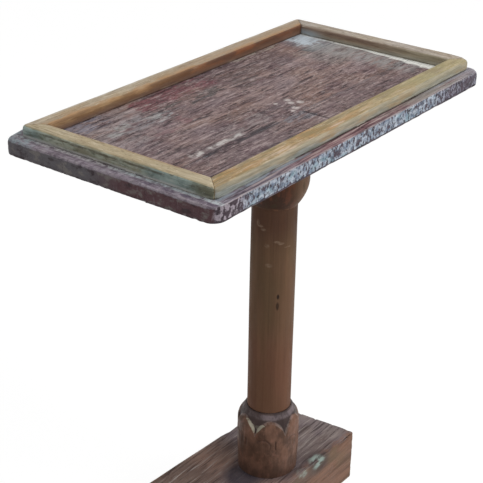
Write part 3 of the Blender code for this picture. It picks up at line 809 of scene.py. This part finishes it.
def paint_white(f, colour, ragged, fleck):
    """White paint on the floor: streaks, blobs, the far right corner, a line along the right rail."""
    wander = (ragged - 0.5) * 0.012
    off_streak = abs(f.y + 0.049 + wander)
    streak = off_streak.ramp(0.006, 0.0018) * f.x.window(-0.187, -0.106, 0.01)
    streak = streak * (1.0 - f.x.window(-0.171, -0.162, 0.004) * 0.7)
    streak = streak * fleck.ramp(0.38, 0.56, 0.14, 0.92)
    colour.lay("#c4bebb", streak)
    thin = f.stain((-0.104, -0.04), (-0.046, -0.02), 0.01, ragged, 0.44, 4.0)
    colour.lay("#a09492", thin * 0.45)
    for x, y, reach in PALE_BLOBS:
        blob = f.spot((x, y, TRAY_FLOOR), reach, reach)
        colour.lay("#a8a8a6", blob * fleck.ramp(0.36, 0.56) * 0.66)
    for x, y, reach in WHITE_BLOBS:
        blob = f.spot((x, y, TRAY_FLOOR), reach, reach)
        colour.lay("#c8beba", blob * fleck.ramp(0.3, 0.46) * 0.84)
    torn = f.noise((0.012, 0.02, 0.012), 4.0, 0.6, 3.1)
    haze = f.patch((0.236, 0.3), (0.076, 0.16), 0.046)
    colour.lay("#9299a2", haze * 0.45)
    grey_end = f.x.window(0.222, 0.3, 0.03) * f.y.window(-0.07, 0.08, 0.03)
    colour.lay("#9e9c9a", grey_end * ragged.ramp(0.34, 0.56) * 0.7)
    breakup = fleck * 0.6 + torn * 0.4
    corner = f.stain((0.234, 0.3), (0.092, 0.16), 0.04, breakup, 0.92, 2.6)
    colour.lay("#c2ccd4", corner * ragged.ramp(0.3, 0.56, 0.45, 0.9))
    gap = INNER_HIGH.x - f.x
    width = f.y.ramp(0.04, -0.105, 0.0055, 0.018)
    line = (gap / (width * torn.ramp(0.3, 0.7, 0.8, 1.2))).ramp(1.0, 0.7)
    line = line * f.y.ramp(0.1, 0.03, 0.45, 0.95)
    colour.lay("#eaeae4", line)


def dirty_joints(f, colour, ragged):
    """Dirt in the joints between the boards, thinner in places."""
    wander = (ragged - 0.5) * 0.004
    back = abs(f.y - BACK_JOINT + wander)
    front = abs(f.y - (FRONT_JOINT + 0.001) + wander)
    butt = abs(f.x - BUTT_JOINT)
    unsteady = ragged.ramp(0.36, 0.6, 0.1, 0.8)
    colour.lay("#423638", back.ramp(0.0022, 0.0004) * unsteady * 0.5)
    heavy = f.x.window(-0.178, -0.048, 0.014).most(f.x.ramp(0.16, 0.215) * 0.6)
    narrow = front.ramp(0.0026, 0.0004) * unsteady * 0.6
    wide = front.ramp(0.0064, 0.002) * heavy * ragged.ramp(0.32, 0.46) * 0.92
    colour.lay("#322a2e", narrow.most(wide))
    on_front_board = f.y.ramp(FRONT_JOINT + 0.001, FRONT_JOINT - 0.001)
    colour.lay("#383034", butt.ramp(0.003, 0.0006) * on_front_board * 0.7)


def paint_ledge(f, colour, broad, grain, fleck, ragged):
    """The boards outside the rim: violet-grey at the ends, maroon at the front, paler by the rim."""
    left = f.x.ramp(RIM_LOW.x + 0.003, RIM_LOW.x)
    front = f.y.ramp(RIM_LOW.y + 0.003, RIM_LOW.y)
    right = f.x.ramp(RIM_HIGH.x - 0.003, RIM_HIGH.x)
    back = f.y.ramp(RIM_HIGH.y - 0.003, RIM_HIGH.y)
    streak = f.noise((0.003, 0.045, 0.003), 3.0, 0.6, 2.9)
    dab = f.noise((0.0045, 0.009, 0.0045), 3.0, 0.6, 4.7)
    violet = streak.coat(0.38, 0.62, "#7a6e78", "#9c919a")
    violet.lay("#5c505a", dab.ramp(0.46, 0.32) * 0.6)
    violet.lay("#bab8c0", dab.ramp(0.56, 0.7) * 0.5)
    near_foot = f.x.window(RIM_LOW.x - 0.004, RIM_LOW.x, 0.003)
    violet.lay("#ccc8ca", near_foot * dab.ramp(0.34, 0.5) * 0.85)
    far_teal = f.y.ramp(0.1, 0.124) * dab.ramp(0.34, 0.54)
    violet.lay("#92a6aa", far_teal * 0.6)
    near_half = f.y.ramp(0.02, -0.03)
    foot_left = near_foot * near_half * dab.ramp(0.34, 0.5)
    violet.lay("#acbcc2", foot_left * 0.55)
    mid_left = f.x.window(RIM_LOW.x - 0.0105, RIM_LOW.x - 0.007, 0.0025) * near_half
    violet.lay("#544a5c", mid_left * dab.ramp(0.6, 0.42) * 0.75)
    maroon = broad.coat(0.38, 0.62, "#64444c", "#88686c")
    maroon.lay("#baa6a4", grain.ramp(0.53, 0.66) * 0.8)
    maroon.lay("#422e36", grain.ramp(0.46, 0.34) * 0.8)
    dusk = broad.coat(0.38, 0.62, "#605562", "#807682")
    dusk.lay("#aca6b0", grain.ramp(0.53, 0.66) * 0.8)
    dusk.lay("#403642", grain.ramp(0.46, 0.34) * 0.8)
    maroon.lay(dusk, f.x.ramp(-0.1, -0.19))
    lines = f.noise((0.06, 0.0036, 0.0036), 3.0, 0.6, 7.4)
    maroon.lay("#b8a8a4", lines.ramp(0.52, 0.62) * 0.7)
    maroon.lay("#3c2c32", lines.ramp(0.48, 0.38) * 0.8)
    maroon.lay("#908c86", f.x.ramp(0.02, 0.15) * grain.ramp(0.36, 0.52) * 0.8)
    foot_front = f.y.window(RIM_LOW.y - 0.005, RIM_LOW.y, 0.003)
    pale_run = f.x.ramp(-0.06, -0.14).most(f.x.ramp(0.12, 0.2) * 0.6)
    maroon.lay("#969ea8", foot_front * pale_run * ragged.ramp(0.34, 0.5) * 0.8)
    seam = f.y.window(RIM_LOW.y - 0.0024, RIM_LOW.y, 0.0015) * (1.0 - pale_run)
    maroon.lay("#403434", seam * 0.8)
    pale_end = f.x.coat(0.15, 0.26, violet, "#96929c")
    pale_end.lay("#685c66", fleck.ramp(0.5, 0.38) * 0.6)
    colour.lay(pale_end, left.most(front.most(right).most(back)))
    on_front = front * (1.0 - left.most(right)) * f.x.ramp(0.28, 0.19, 0.25, 1.0)
    colour.lay(maroon, on_front)


def paint_sides(f, colour, ragged):
    """Side edges: dark at the ends, chipped blue-white at the front. Gives where that paint is left."""
    left = f.facing_x.ramp(-0.5, -0.85)
    right = f.facing_x.ramp(0.5, 0.85)
    front = f.facing_y.ramp(-0.5, -0.85)
    back = f.facing_y.ramp(0.5, 0.85)
    cloud = f.noise((0.022, 0.022, 0.012), 4.0, 0.6, 5.9)
    smear = f.noise((0.004, 0.004, 0.016), 3.0, 0.6, 2.7)
    dark = f.y.coat(0.03, -0.03, "#5e5a5e", "#563d41")
    dark.lay("#7a7470", cloud.ramp(0.52, 0.64) * 0.7)
    dark.lay("#34282c", cloud.ramp(0.46, 0.34) * 0.8)
    dark.lay("#7c7476", smear.ramp(0.58, 0.72) * 0.35)
    dark.lay("#382e32", f.z.ramp(TRAY_LOW.z + 0.005, TRAY_LOW.z) * 0.6)
    worn = (f.z + (ragged - 0.5) * 0.003).ramp(TRAY_FLOOR - 0.0036, TRAY_FLOOR - 0.0016)
    ends = left.most(right.most(back))
    colour.lay(dark, ends * (1.0 - worn))

    chips = f.noise((0.0048, 0.0048, 0.007), 4.0, 0.67, 3.3)
    patches = f.noise((0.022, 0.022, 0.01), 3.0, 0.55, 7.2)
    tone = f.noise((0.009, 0.009, 0.006), 3.0, 0.6, 1.2)
    paint = tone.coat(0.36, 0.64, "#727e90", "#b4bcc7")
    paint.lay("#86a8b0", patches.ramp(0.54, 0.66) * 0.4)
    under = patches.coat(0.4, 0.6, "#50454f", "#322c34")
    cover = chips + (patches - 0.5) * 0.24
    corner = f.x.ramp(-0.225, -0.25)
    far_end = f.x.ramp(0.15, 0.205)
    cover = cover + (corner * -0.055 + far_end * -0.07)
    paint.lay("#827b88", far_end * 0.75)
    paint.lay("#a4959d", corner * 0.85)
    under.lay("#3e3137", corner * 0.7)
    foot = f.z.ramp(TRAY_LOW.z + 0.0036, TRAY_LOW.z + 0.0012)
    cover = cover + foot * -0.24
    painted = cover.ramp(0.39, 0.505)
    under.lay(paint, painted * 0.92)
    colour.lay(under, front)
    return front * painted


def rail_wood(name, run, tones):
    """Bare tan wood with its grain along one axis. Gives the finish, its colour and two fields."""
    f = Finish(name)
    broad = f.streaks(run, 0.12, 0.008, 3.0, 0.6, 1.3)
    tone = f.streaks(run, 0.08, 0.03, 2.0, 0.5, 3.8)
    grain = f.streaks(run, 0.035, 0.0024, 4.0, 0.62, 4.9)
    ragged = f.streaks(run, 0.024, 0.006, 4.0, 0.62, 7.7)
    colour = broad.coat(0.36, 0.64, tones[0], tones[1])
    colour.lay(tones[2], tone.ramp(0.46, 0.64) * 0.6)
    speck = f.streaks(run, 0.0075, 0.0026, 2.0, 0.6, 6.4)
    colour.lay("#745c42", grain.ramp(0.46, 0.32) * 0.6)
    colour.lay("#d6cab0", grain.ramp(0.56, 0.7) * 0.5)
    colour.lay("#68543e", speck.ramp(0.44, 0.3) * 0.5)
    colour.lay("#dcd0b8", speck.ramp(0.58, 0.72) * 0.45)
    return f, colour, grain, ragged


def close_rail(f, colour, run, grain, ragged, darkening=0.5):
    """Rubbed arrises, a darker foot and fine fibres, on any rail."""
    fibre = f.streaks(run, 0.015, 0.0009, 3.0, 0.6, 2.2)
    rubbed = (f.attribute("bare") + ragged * 0.4).ramp(0.6, 1.05)
    colour.lay("#c4b8a0", rubbed * 0.22)
    # Darker along the foot of the rail, where it meets the boards.
    foot = f.z.ramp(RAIL_FOOT + 0.0022, RAIL_FOOT + 0.0004)
    colour.lay("#4c423e", foot * ragged.ramp(0.4, 0.56) * darkening)
    colour.shade(fibre.ramp(0.25, 0.75, 0.86, 1.1))
    return f.close(colour, ragged, (0.7, 0.52), grain * 0.7 + fibre * 0.3, 0.0006)


def front_rail_finish():
    """Golden tan on top, going through olive to grey-blue at the foot of its outer side."""
    tones = ("#9e8a68", "#bca884", "#ac8e60")
    f, colour, grain, ragged = rail_wood("front_rail_wood", 0, tones)
    cloud = f.noise((0.046, 0.012, 0.01), 3.0, 0.6, 5.2)
    golden = cloud.ramp(0.44, 0.64) * f.x.ramp(0.08, -0.06, 0.3, 0.75)
    colour.lay("#b68c5c", golden)
    tint = f.noise((0.046, 0.0045, 0.0045), 3.0, 0.6, 8.4)
    colour.lay("#ccb6a0", tint.ramp(0.53, 0.64) * 0.8)
    colour.lay("#887852", tint.ramp(0.47, 0.36) * 0.8)
    colour.lay("#a49d76", f.x.ramp(-0.02, 0.2) * 0.6)
    colour.lay("#8c7c60", cloud.ramp(0.46, 0.34) * 0.6)
    outer = f.facing_y.ramp(-0.1, -0.8)
    olive = grain.coat(0.36, 0.64, "#868272", "#a49c88")
    olive.lay("#a4845a", cloud.ramp(0.54, 0.66) * 0.35)
    grey = grain.coat(0.36, 0.64, "#7c8480", "#9ca4a4")
    wander = (cloud - 0.5) * 0.022
    low = (f.z + wander).ramp(RAIL_FOOT + 0.008, RAIL_FOOT + 0.002)
    low = low * f.x.ramp(0.14, -0.14, 0.45, 0.95)
    olive.lay(grey, low)
    colour.lay(olive, outer * 0.85)
    inner = f.facing_y.ramp(0.35, 0.8)
    colour.lay("#846648", inner * 0.7)
    return close_rail(f, colour, 0, grain, ragged)


def back_rail_finish():
    """Pale tan on top, with a warm brown inner side that darkens towards the floor."""
    tones = ("#ac9a82", "#beb09a", "#ac8e68")
    f, colour, grain, ragged = rail_wood("back_rail_wood", 0, tones)
    colour.lay("#a08870", f.x.ramp(-0.12, 0.12) * 0.6)
    cloud = f.noise((0.05, 0.012, 0.01), 3.0, 0.6, 4.6)
    golden = f.y.ramp(RIM_HIGH.y - 0.009, INNER_HIGH.y + 0.004) * ragged.ramp(0.38, 0.56)
    colour.lay("#b08456", golden * 0.75)
    pale = f.y.ramp(RIM_HIGH.y - 0.007, RIM_HIGH.y - 0.001) * cloud.ramp(0.4, 0.56)
    colour.lay("#d0c8b8", pale * 0.6)
    inner = f.facing_y.ramp(-0.1, -0.8)
    tan = cloud.coat(0.4, 0.6, "#7e6042", "#a4845e")
    orange = cloud.coat(0.4, 0.6, "#4c2818", "#724024")
    warm = f.x.coat(-0.16, 0.08, tan, orange)
    dim = f.z.coat(RAIL_FOOT + 0.001, RIM_TOP - 0.003, "#60483e", warm)
    colour.lay(dim, inner * 0.9)
    return close_rail(f, colour, 0, grain, ragged)


def left_rail_finish():
    """Straw on top, with thin grey-green and teal paint on its outer side."""
    tones = ("#ac9c7e", "#c0b294", "#b09e7e")
    f, colour, grain, ragged = rail_wood("left_rail_wood", 1, tones)
    colour.lay("#c8ba9e", f.y.ramp(-0.06, -0.12) * 0.5)
    cloud = f.noise((0.02, 0.026, 0.012), 3.0, 0.6, 6.1)
    olive = f.x.ramp(RIM_LOW.x + 0.006, RIM_LOW.x + 0.002) * ragged.ramp(0.4, 0.56)
    colour.lay("#7a7256", olive * 0.65)
    ruddy = f.x.ramp(INNER_LOW.x - 0.008, INNER_LOW.x - 0.002) * cloud.ramp(0.4, 0.56)
    colour.lay("#a07c5c", ruddy * 0.55)
    outer = f.facing_x.ramp(-0.25, -0.7)
    paint = cloud.coat(0.38, 0.62, "#80887a", "#acb2a2")
    teal = cloud.coat(0.38, 0.62, "#708281", "#9cafab")
    at_ends = f.y.ramp(0.095, 0.125).most(f.y.window(-0.1, -0.055, 0.025))
    paint.lay(teal, at_ends * 0.85)
    paint.lay("#626250", f.y.ramp(-0.105, -0.13) * 0.85)
    paint.lay("#4e504a", grain.ramp(0.45, 0.32) * 0.5)
    bare_middle = f.y.window(-0.03, 0.06, 0.04) * ragged.ramp(0.38, 0.56)
    paint.lay("#887e66", bare_middle * 0.55)
    dab = f.noise((0.006, 0.01, 0.004), 3.0, 0.6, 2.8)
    paint.lay("#b0b6ae", dab.ramp(0.56, 0.68) * 0.6)
    paint.lay("#545446", dab.ramp(0.44, 0.32) * 0.6)
    dark_line = f.z.window(RIM_TOP - 0.0036, RIM_TOP - 0.0024, 0.001)
    dark_line = dark_line * f.y.window(-0.06, 0.09, 0.03)
    paint.lay("#464234", dark_line * ragged.ramp(0.38, 0.54) * 0.75)
    pale_foot = f.z.ramp(RAIL_FOOT + 0.0042, RAIL_FOOT + 0.0012) * ragged.ramp(0.34, 0.5)
    paint.lay("#bebebc", pale_foot * f.y.ramp(-0.09, -0.125, 0.85, 0.2))
    colour.lay(paint, outer * 0.95)
    inner = f.facing_x.ramp(0.35, 0.8)
    colour.lay("#967a5a", inner * 0.7)
    return close_rail(f, colour, 1, grain, ragged, 0.1)


def right_rail_finish():
    """Grey-tan on top, with a brown inner side."""
    tones = ("#a4988c", "#b8aea4", "#a89882")
    f, colour, grain, ragged = rail_wood("right_rail_wood", 1, tones)
    inner = f.facing_x.ramp(-0.1, -0.8)
    brown = grain.coat(0.36, 0.64, "#887260", "#a8927c")
    olive = grain.coat(0.36, 0.64, "#928870", "#b0a68e")
    brown.lay("#685044", f.z.ramp(RIM_TOP - 0.008, RIM_TOP - 0.003) * 0.7)
    colour.lay(f.y.coat(0.02, -0.09, brown, olive), inner * 0.9)
    low = f.z.ramp(RAIL_FOOT + 0.007, RAIL_FOOT + 0.002)
    colour.lay("#9c9a8e", inner * low * 0.65)
    blue = inner * f.y.ramp(0.07, 0.105) * f.z.ramp(RIM_TOP - 0.002, RAIL_FOOT + 0.004)
    colour.lay("#a8b2b8", blue * 0.8)
    outer = f.facing_x.ramp(0.3, 0.8)
    colour.lay("#868478", outer * 0.8)
    return close_rail(f, colour, 1, grain, ragged)


def rail_finishes():
    return {
        "front_rail": front_rail_finish(),
        "back_rail": back_rail_finish(),
        "left_rail": left_rail_finish(),
        "right_rail": right_rail_finish(),
    }


def skin(degrees, height, radius):
    """A place on the skin of a turned piece."""
    angle = math.radians(degrees)
    return (AXIS.x + radius * math.cos(angle), AXIS.y + radius * math.sin(angle), height)


# Marks on the post, as (degrees round the axis, height, half width, half height)
POST_SCRATCHES = (
    (173.0, 0.4635, 0.0036, 0.0060),
    (180.0, 0.4600, 0.0056, 0.0026),
    (188.0, 0.4560, 0.0052, 0.0028),
    (199.0, 0.4340, 0.0040, 0.0040),
    (224.0, 0.4400, 0.0056, 0.0024),
    (234.0, 0.4375, 0.0058, 0.0026),
    (252.0, 0.4315, 0.0062, 0.0016),
    (205.0, 0.4060, 0.0066, 0.0036),
)
POST_KNOTS = ((230.4, 0.3605, 0.0024, 0.0050), (229.6, 0.3465, 0.0030, 0.0078))


def post_finish():
    """Smooth satin brown with faint upright grain, two small knots and a few pale scratches. Painted
    shade darkens the top under the tray, and the capital has a painted lit side, a painted shaded side
    and a painted highlight along its lip.
    """
    f = Finish("satin_post_wood")
    broad = f.streaks(2, 0.26, 0.012, 3.0, 0.55, 2.1)
    fine = f.streaks(2, 0.11, 0.0024, 4.0, 0.6, 5.4)
    cloud = f.noise((0.04, 0.04, 0.11), 3.0, 0.5, 7.9)
    rub = f.noise((0.012, 0.012, 0.03), 4.0, 0.6, 3.6)
    scuff = f.noise((0.005, 0.005, 0.0034), 3.0, 0.6, 8.2)
    colour = broad.coat(0.35, 0.65, "#5b4231", "#72543f")
    colour.lay("#705040", cloud.ramp(0.42, 0.62) * 0.5)
    colour.lay("#5c4934", cloud.ramp(0.5, 0.36) * 0.5)
    colour.lay("#3e2b20", fine.ramp(0.46, 0.3) * 0.35)
    middle = f.z.window(0.32, 0.42, 0.05)
    colour.lay("#624d39", middle * 0.45)
    # Painted shade: the top of the post is darkened where the tray overhangs it.
    colour.lay("#483025", f.z.ramp(0.415, 0.47) * 0.65)
    colour.lay("#6c4838", f.z.ramp(0.33, 0.24) * 0.5)
    to_right = f.facing_right()
    on_capital = f.z.ramp(CAPITAL_LOW.z - 0.001, CAPITAL_LOW.z + 0.006)
    # Painted shade: the capital is darker on its side facing away from the right, under the tray.
    colour.lay("#3a271f", on_capital * to_right.ramp(0.7, 0.2) * 0.75)
    # Painted light: the capital is lighter on its side facing the right.
    colour.lay("#725a48", on_capital * to_right.ramp(0.45, 0.85))
    colour.lay("#683e2c", on_capital * rub.ramp(0.5, 0.62) * 0.55)
    colour.lay("#42382a", on_capital * rub.ramp(0.46, 0.36) * 0.45)
    # Painted highlight: a thin orange-brown line along the capital's lower edge.
    painted_lip_highlight = f.z.window(CAPITAL_LOW.z, CAPITAL_LOW.z + 0.0016, 0.0012)
    colour.lay("#845a42", painted_lip_highlight * rub.ramp(0.46, 0.58) * 0.5)
    for angle, height, wide, tall in POST_SCRATCHES:
        scratch = f.spot(skin(angle, height, POST_RADIUS), wide, tall)
        colour.lay("#927c6a", scratch * scuff.ramp(0.3, 0.66) * 0.5)
    for angle, height, wide, tall in POST_KNOTS:
        knot = f.spot(skin(angle, height, POST_RADIUS), wide, tall)
        colour.lay("#241914", knot * rub.ramp(0.34, 0.52, 0.55, 0.95))
    return f.close(colour, rub, (0.68, 0.56), fine * 0.5 + rub * 0.3, 0.0003, 0.12)


# Pale bare wood by the left cleft, as (degrees, drop from the top, half width, half height)
PALE_CHIPS = (
    (175.0, 0.0095, 0.0080, 0.0130),
    (184.0, 0.0195, 0.0070, 0.0100),
    (196.0, 0.0190, 0.0125, 0.0080),
)


def collar_finish():
    """Brown carved wood with violet-grey paint in the clefts and on the shoulder, and pale chips. A
    painted highlight runs round the foot of the post and along the petals' bevels, and painted shade lies
    on the side facing away from the right.
    """
    f = Finish("carved_collar_wood")
    fine = f.streaks(2, 0.05, 0.0024, 4.0, 0.62, 1.4)
    cloud = f.noise((0.018, 0.018, 0.03), 4.0, 0.55, 6.3)
    ragged = f.noise((0.007, 0.007, 0.01), 4.0, 0.62, 4.4)
    rise = f.attribute("bare")
    carved = f.attribute("carved")
    colour = cloud.coat(0.38, 0.62, "#543c2f", "#745444")
    colour.lay("#80584a", ragged.ramp(0.54, 0.7) * 0.4)
    colour.lay("#3e2e26", fine.ramp(0.45, 0.3) * 0.4)
    colour.lay("#46342e", f.z.ramp(COLLAR_LOW.z + 0.035, COLLAR_LOW.z) * 0.5)
    colour.lay("#3a2620", carved.ramp(0.05, 0.9) * 0.6)
    gap = f.from_axis()
    violet = cloud.coat(0.4, 0.6, "#332624", "#473936")
    # Painted highlight: a pale line on the shoulder, just round the foot of the post.
    painted_foot_highlight = gap.window(0.0332, 0.035, 0.0016) * cloud.ramp(0.34, 0.52, 0.25, 1.0)
    violet.lay("#8a7d81", painted_foot_highlight * 0.48)
    violet.lay("#3c3134", ragged.ramp(0.5, 0.38) * 0.5)
    shadow = f.facing_right().ramp(-0.05, -0.5)
    violet.lay("#423330", shadow * 0.6)
    colour.lay(violet, (rise + ragged * 0.2).ramp(0.7, 0.35))
    deep = COLLAR_HIGH.z - PETAL_CLEFT_DROP
    low_cleft = f.z.ramp(deep + 0.0145, deep + 0.0105)
    facet = rise.window(0.15, 0.85, 0.12) * low_cleft * ragged.ramp(0.42, 0.5)
    colour.lay("#968e84", facet * 0.18)
    # Painted highlight: pale along the petals' bevels.
    rim = rise.window(0.35, 0.8, 0.14) * ragged.ramp(0.38, 0.54)
    colour.lay("#8e7c78", rim * 0.32)
    narrowed = rise - f.z.ramp(deep + 0.009, deep + 0.024, 0.0, 0.8)
    outside = rise.ramp(0.99, 0.94) * ragged.ramp(0.28, 0.4)
    for angle, drop, wide, tall in PALE_CHIPS:
        place = skin(angle, COLLAR_HIGH.z - drop, COLLAR_RADIUS - PETAL_RELIEF / 2)
        chip = f.spot(place, wide, tall)
        bevel = (narrowed + chip * 0.5).ramp(0.46, 0.58) * outside
        colour.lay("#a8a290", chip.ramp(0.02, 0.12) * bevel * 0.8)
    colour.shade(ragged.ramp(0.25, 0.75, 0.88, 1.1))
    return f.close(colour, ragged, (0.62, 0.46), fine * 0.6 + ragged * 0.5, 0.0007)


def block_finish():
    """Weathered beam: grey-brown with pale raised grain above, orange-brown on the sides."""
    f = Finish("weathered_block_wood")
    broad = f.streaks(0, 0.12, 0.012, 4.0, 0.6, 2.6)
    grain = f.streaks(0, 0.06, 0.0032, 4.0, 0.62, 5.1)
    ragged = f.streaks(0, 0.03, 0.012, 4.0, 0.65, 8.3)
    cloud = f.noise((0.06, 0.04, 0.04), 3.0, 0.5, 3.7)
    bare = f.attribute("bare")
    colour = broad.coat(0.36, 0.64, "#6a5b58", "#8e817d")
    colour.lay("#685a62", cloud.ramp(0.44, 0.6) * 0.6)
    far_left = f.x.ramp(AXIS.x + 0.02, AXIS.x - 0.05) * f.y.ramp(AXIS.y, AXIS.y + 0.04, 0.6, 1.0)
    reddish = f.x.coat(AXIS.x - 0.045, AXIS.x - 0.085, "#9a7a6a", "#685246")
    colour.lay(reddish, far_left * 0.8)
    near_right = f.patch((AXIS.x + 0.04, 0.108), (BLOCK_LOW.y, AXIS.y - 0.036), 0.02)
    colour.lay("#625250", near_right * 0.5)
    far_right = f.x.ramp(0.112, 0.136)
    colour.lay("#968a86", far_right * 0.4)
    colour.lay("#3e3130", broad.ramp(0.45, 0.32) * 0.5)
    colour.lay("#a49a94", grain.ramp(0.55, 0.68) * 0.75)
    colour.lay("#322828", grain.ramp(0.47, 0.34) * 0.8)
    rust = f.y.ramp(BLOCK_LOW.y + 0.016, BLOCK_LOW.y) * ragged.ramp(0.4, 0.56)
    colour.lay("#805844", rust * 0.7)
    gap = f.from_axis()
    colour.lay("#3e3338", gap.ramp(0.053, 0.043) * 0.35)
    # A darker patch on the block's top, just left of the collar.
    darkening = f.spot((AXIS.x - 0.048, AXIS.y + 0.006, BLOCK_HIGH.z), 0.042, 0.042)
    colour.lay("#38323a", darkening * 0.9)
    front = f.facing_y.ramp(-0.35, -0.8)
    side = front.most(f.facing_y.ramp(0.4, 0.8))
    side = side.most(abs(f.facing_x).ramp(0.4, 0.8))
    brown = broad.coat(0.36, 0.64, "#684e41", "#886857")
    dim = f.x.window(AXIS.x - 0.02, AXIS.x + 0.062, 0.02)
    brown.lay("#5c504c", dim * f.z.ramp(BLOCK_HIGH.z - 0.03, BLOCK_HIGH.z) * 0.75)
    brown.lay("#48362e", grain.ramp(0.46, 0.32) * 0.6)
    brown.lay("#70624c", cloud.ramp(0.52, 0.38) * 0.4)
    colour.lay(brown, side)
    rubbed = (bare + ragged * 0.6).ramp(0.55, 1.0)
    colour.lay("#8c705c", rubbed * 0.35)
    around = f.spot((0.067, BLOCK_LOW.y, BLOCK_HIGH.z - 0.006), 0.032, 0.022)
    colour.lay("#483e3e", around * 0.6)
    chip = f.spot((0.065, BLOCK_LOW.y, BLOCK_HIGH.z - 0.002), 0.019, 0.013)
    colour.lay("#9cada5", chip * ragged.ramp(0.4, 0.53) * 0.85)
    low_chip = f.spot((0.028, BLOCK_LOW.y, BLOCK_HIGH.z - 0.002), 0.014, 0.008)
    colour.lay("#969e96", low_chip * ragged.ramp(0.4, 0.52) * 0.7)
    return f.close(colour, ragged, (0.82, 0.62), grain + ragged * 0.5, 0.0014)


def batten_finish():
    """Plain planed wood, browned with age, that runs across the tray."""
    f = Finish("aged_batten_wood")
    broad = f.streaks(1, 0.14, 0.009, 4.0, 0.6, 2.8)
    fine = f.streaks(1, 0.05, 0.002, 5.0, 0.65, 6.1)
    ragged = f.streaks(1, 0.03, 0.01, 4.0, 0.6, 1.1)
    bare = f.attribute("bare")
    colour = broad.coat(0.36, 0.64, "#765c42", "#967a5a")
    colour.lay("#4e3a28", fine.ramp(0.44, 0.3) * 0.6)
    colour.lay("#aa9272", bare.ramp(0.35, 0.8) * 0.4)
    return f.close(colour, ragged, (0.78, 0.6), fine * 0.8 + ragged * 0.3, 0.0007)


def steel_finish():
    """Dull zinc plating with a little staining."""
    f = Finish("dull_zinc_steel")
    stain = f.noise((0.004, 0.004, 0.004), 4.0, 0.6, 1.9)
    scuffs = f.noise((0.0006, 0.0006, 0.0006), 3.0, 0.6, 3.5)
    colour = stain.coat(0.4, 0.66, "#babab6", "#807668")
    f.shader.inputs["Metallic"].default_value = 1.0
    return f.close(colour, stain, (0.34, 0.58), scuffs, 0.0001, 0.5)


# Studio
CAMERA_PLACE = (-1.21697, -0.88581, 1.17413)
CAMERA_TURN = (63.6389, -0.9099, -52.768)
CAMERA_LENS = 96.966
AIM = Vector((0.0, 0.0, 0.40))
KEY_WAY = Vector((0.30, -0.85, 0.80))
KEY_DISTANCE = 2.4
KEY_POWER = 34.0
KEY_SIZE = 1.5
SKY_STRENGTH = 0.52
FLOOR_SIZE = 14.0
WHITE = (1.0, 1.0, 1.0, 1.0)
FLOOR_GREY = (0.80, 0.80, 0.80, 1.0)
FLOOR_GLOW = 1.13
FLOOR_GLOW_SHARE = 0.80


def make_floor():
    """A pale floor that reads as white and keeps a soft shadow."""
    mesh = bpy.data.meshes.new("studio_floor")
    half = FLOOR_SIZE / 2
    corners = [(-half, -half, 0.0), (half, -half, 0.0), (half, half, 0.0), (-half, half, 0.0)]
    mesh.from_pydata(corners, [], [(0, 1, 2, 3)])
    material = bpy.data.materials.new("pale_floor")
    tree = Nodes(material)
    tree.nodes.clear()
    matt = tree.node("BsdfDiffuse", FLOOR_GREY)
    glow = tree.node("Emission", WHITE, FLOOR_GLOW)
    share = tree.node("Math", tree.seen_directly(), FLOOR_GLOW_SHARE, operation="MULTIPLY")
    blend = tree.node("MixShader", share.outputs[0], matt.outputs[0], glow.outputs[0])
    tree.node("OutputMaterial", blend.outputs[0])
    mesh.materials.append(material)
    floor = put("studio_floor", mesh)


def make_light():
    """Soft light from all round, with a large lamp above the reader's right."""
    world = bpy.data.worlds.new("studio")
    bpy.context.scene.world = world
    tree = Nodes(world)
    strength = tree.node("MapRange", tree.seen_directly(), 0.0, 1.0, SKY_STRENGTH, 1.0)
    tree.wire(tree.nodes["Background"], {"Color": WHITE, "Strength": strength.outputs[0]})

    lamp = bpy.data.lights.new("key_lamp", "AREA")
    lamp.energy = KEY_POWER
    lamp.size = KEY_SIZE
    key = put("key_lamp", lamp)
    way = KEY_WAY.normalized()
    key.location = AIM + way * KEY_DISTANCE
    key.rotation_euler = way.to_track_quat("Z", "Y").to_euler()


def make_camera():
    lens = bpy.data.cameras.new("photo_camera")
    lens.lens = CAMERA_LENS
    camera = put("photo_camera", lens)
    camera.location = CAMERA_PLACE
    camera.rotation_euler = [math.radians(angle) for angle in CAMERA_TURN]
    bpy.context.scene.camera = camera


make_camera()
make_light()
make_floor()
make_planks(plank_finish())
make_rails(rail_finishes())
make_underside(batten_finish())
make_block(block_finish())
post_wood = post_finish()
make_post(post_wood)
make_capital(post_wood)
make_collar(collar_finish())

steel = steel_finish()
for name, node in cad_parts.items():
    if "_screw_" in name or name in ("base_bolt", "bolt_washer"):
        node.material_slots[0].material = steel

bpy.context.scene.view_settings.view_transform = "Standard"
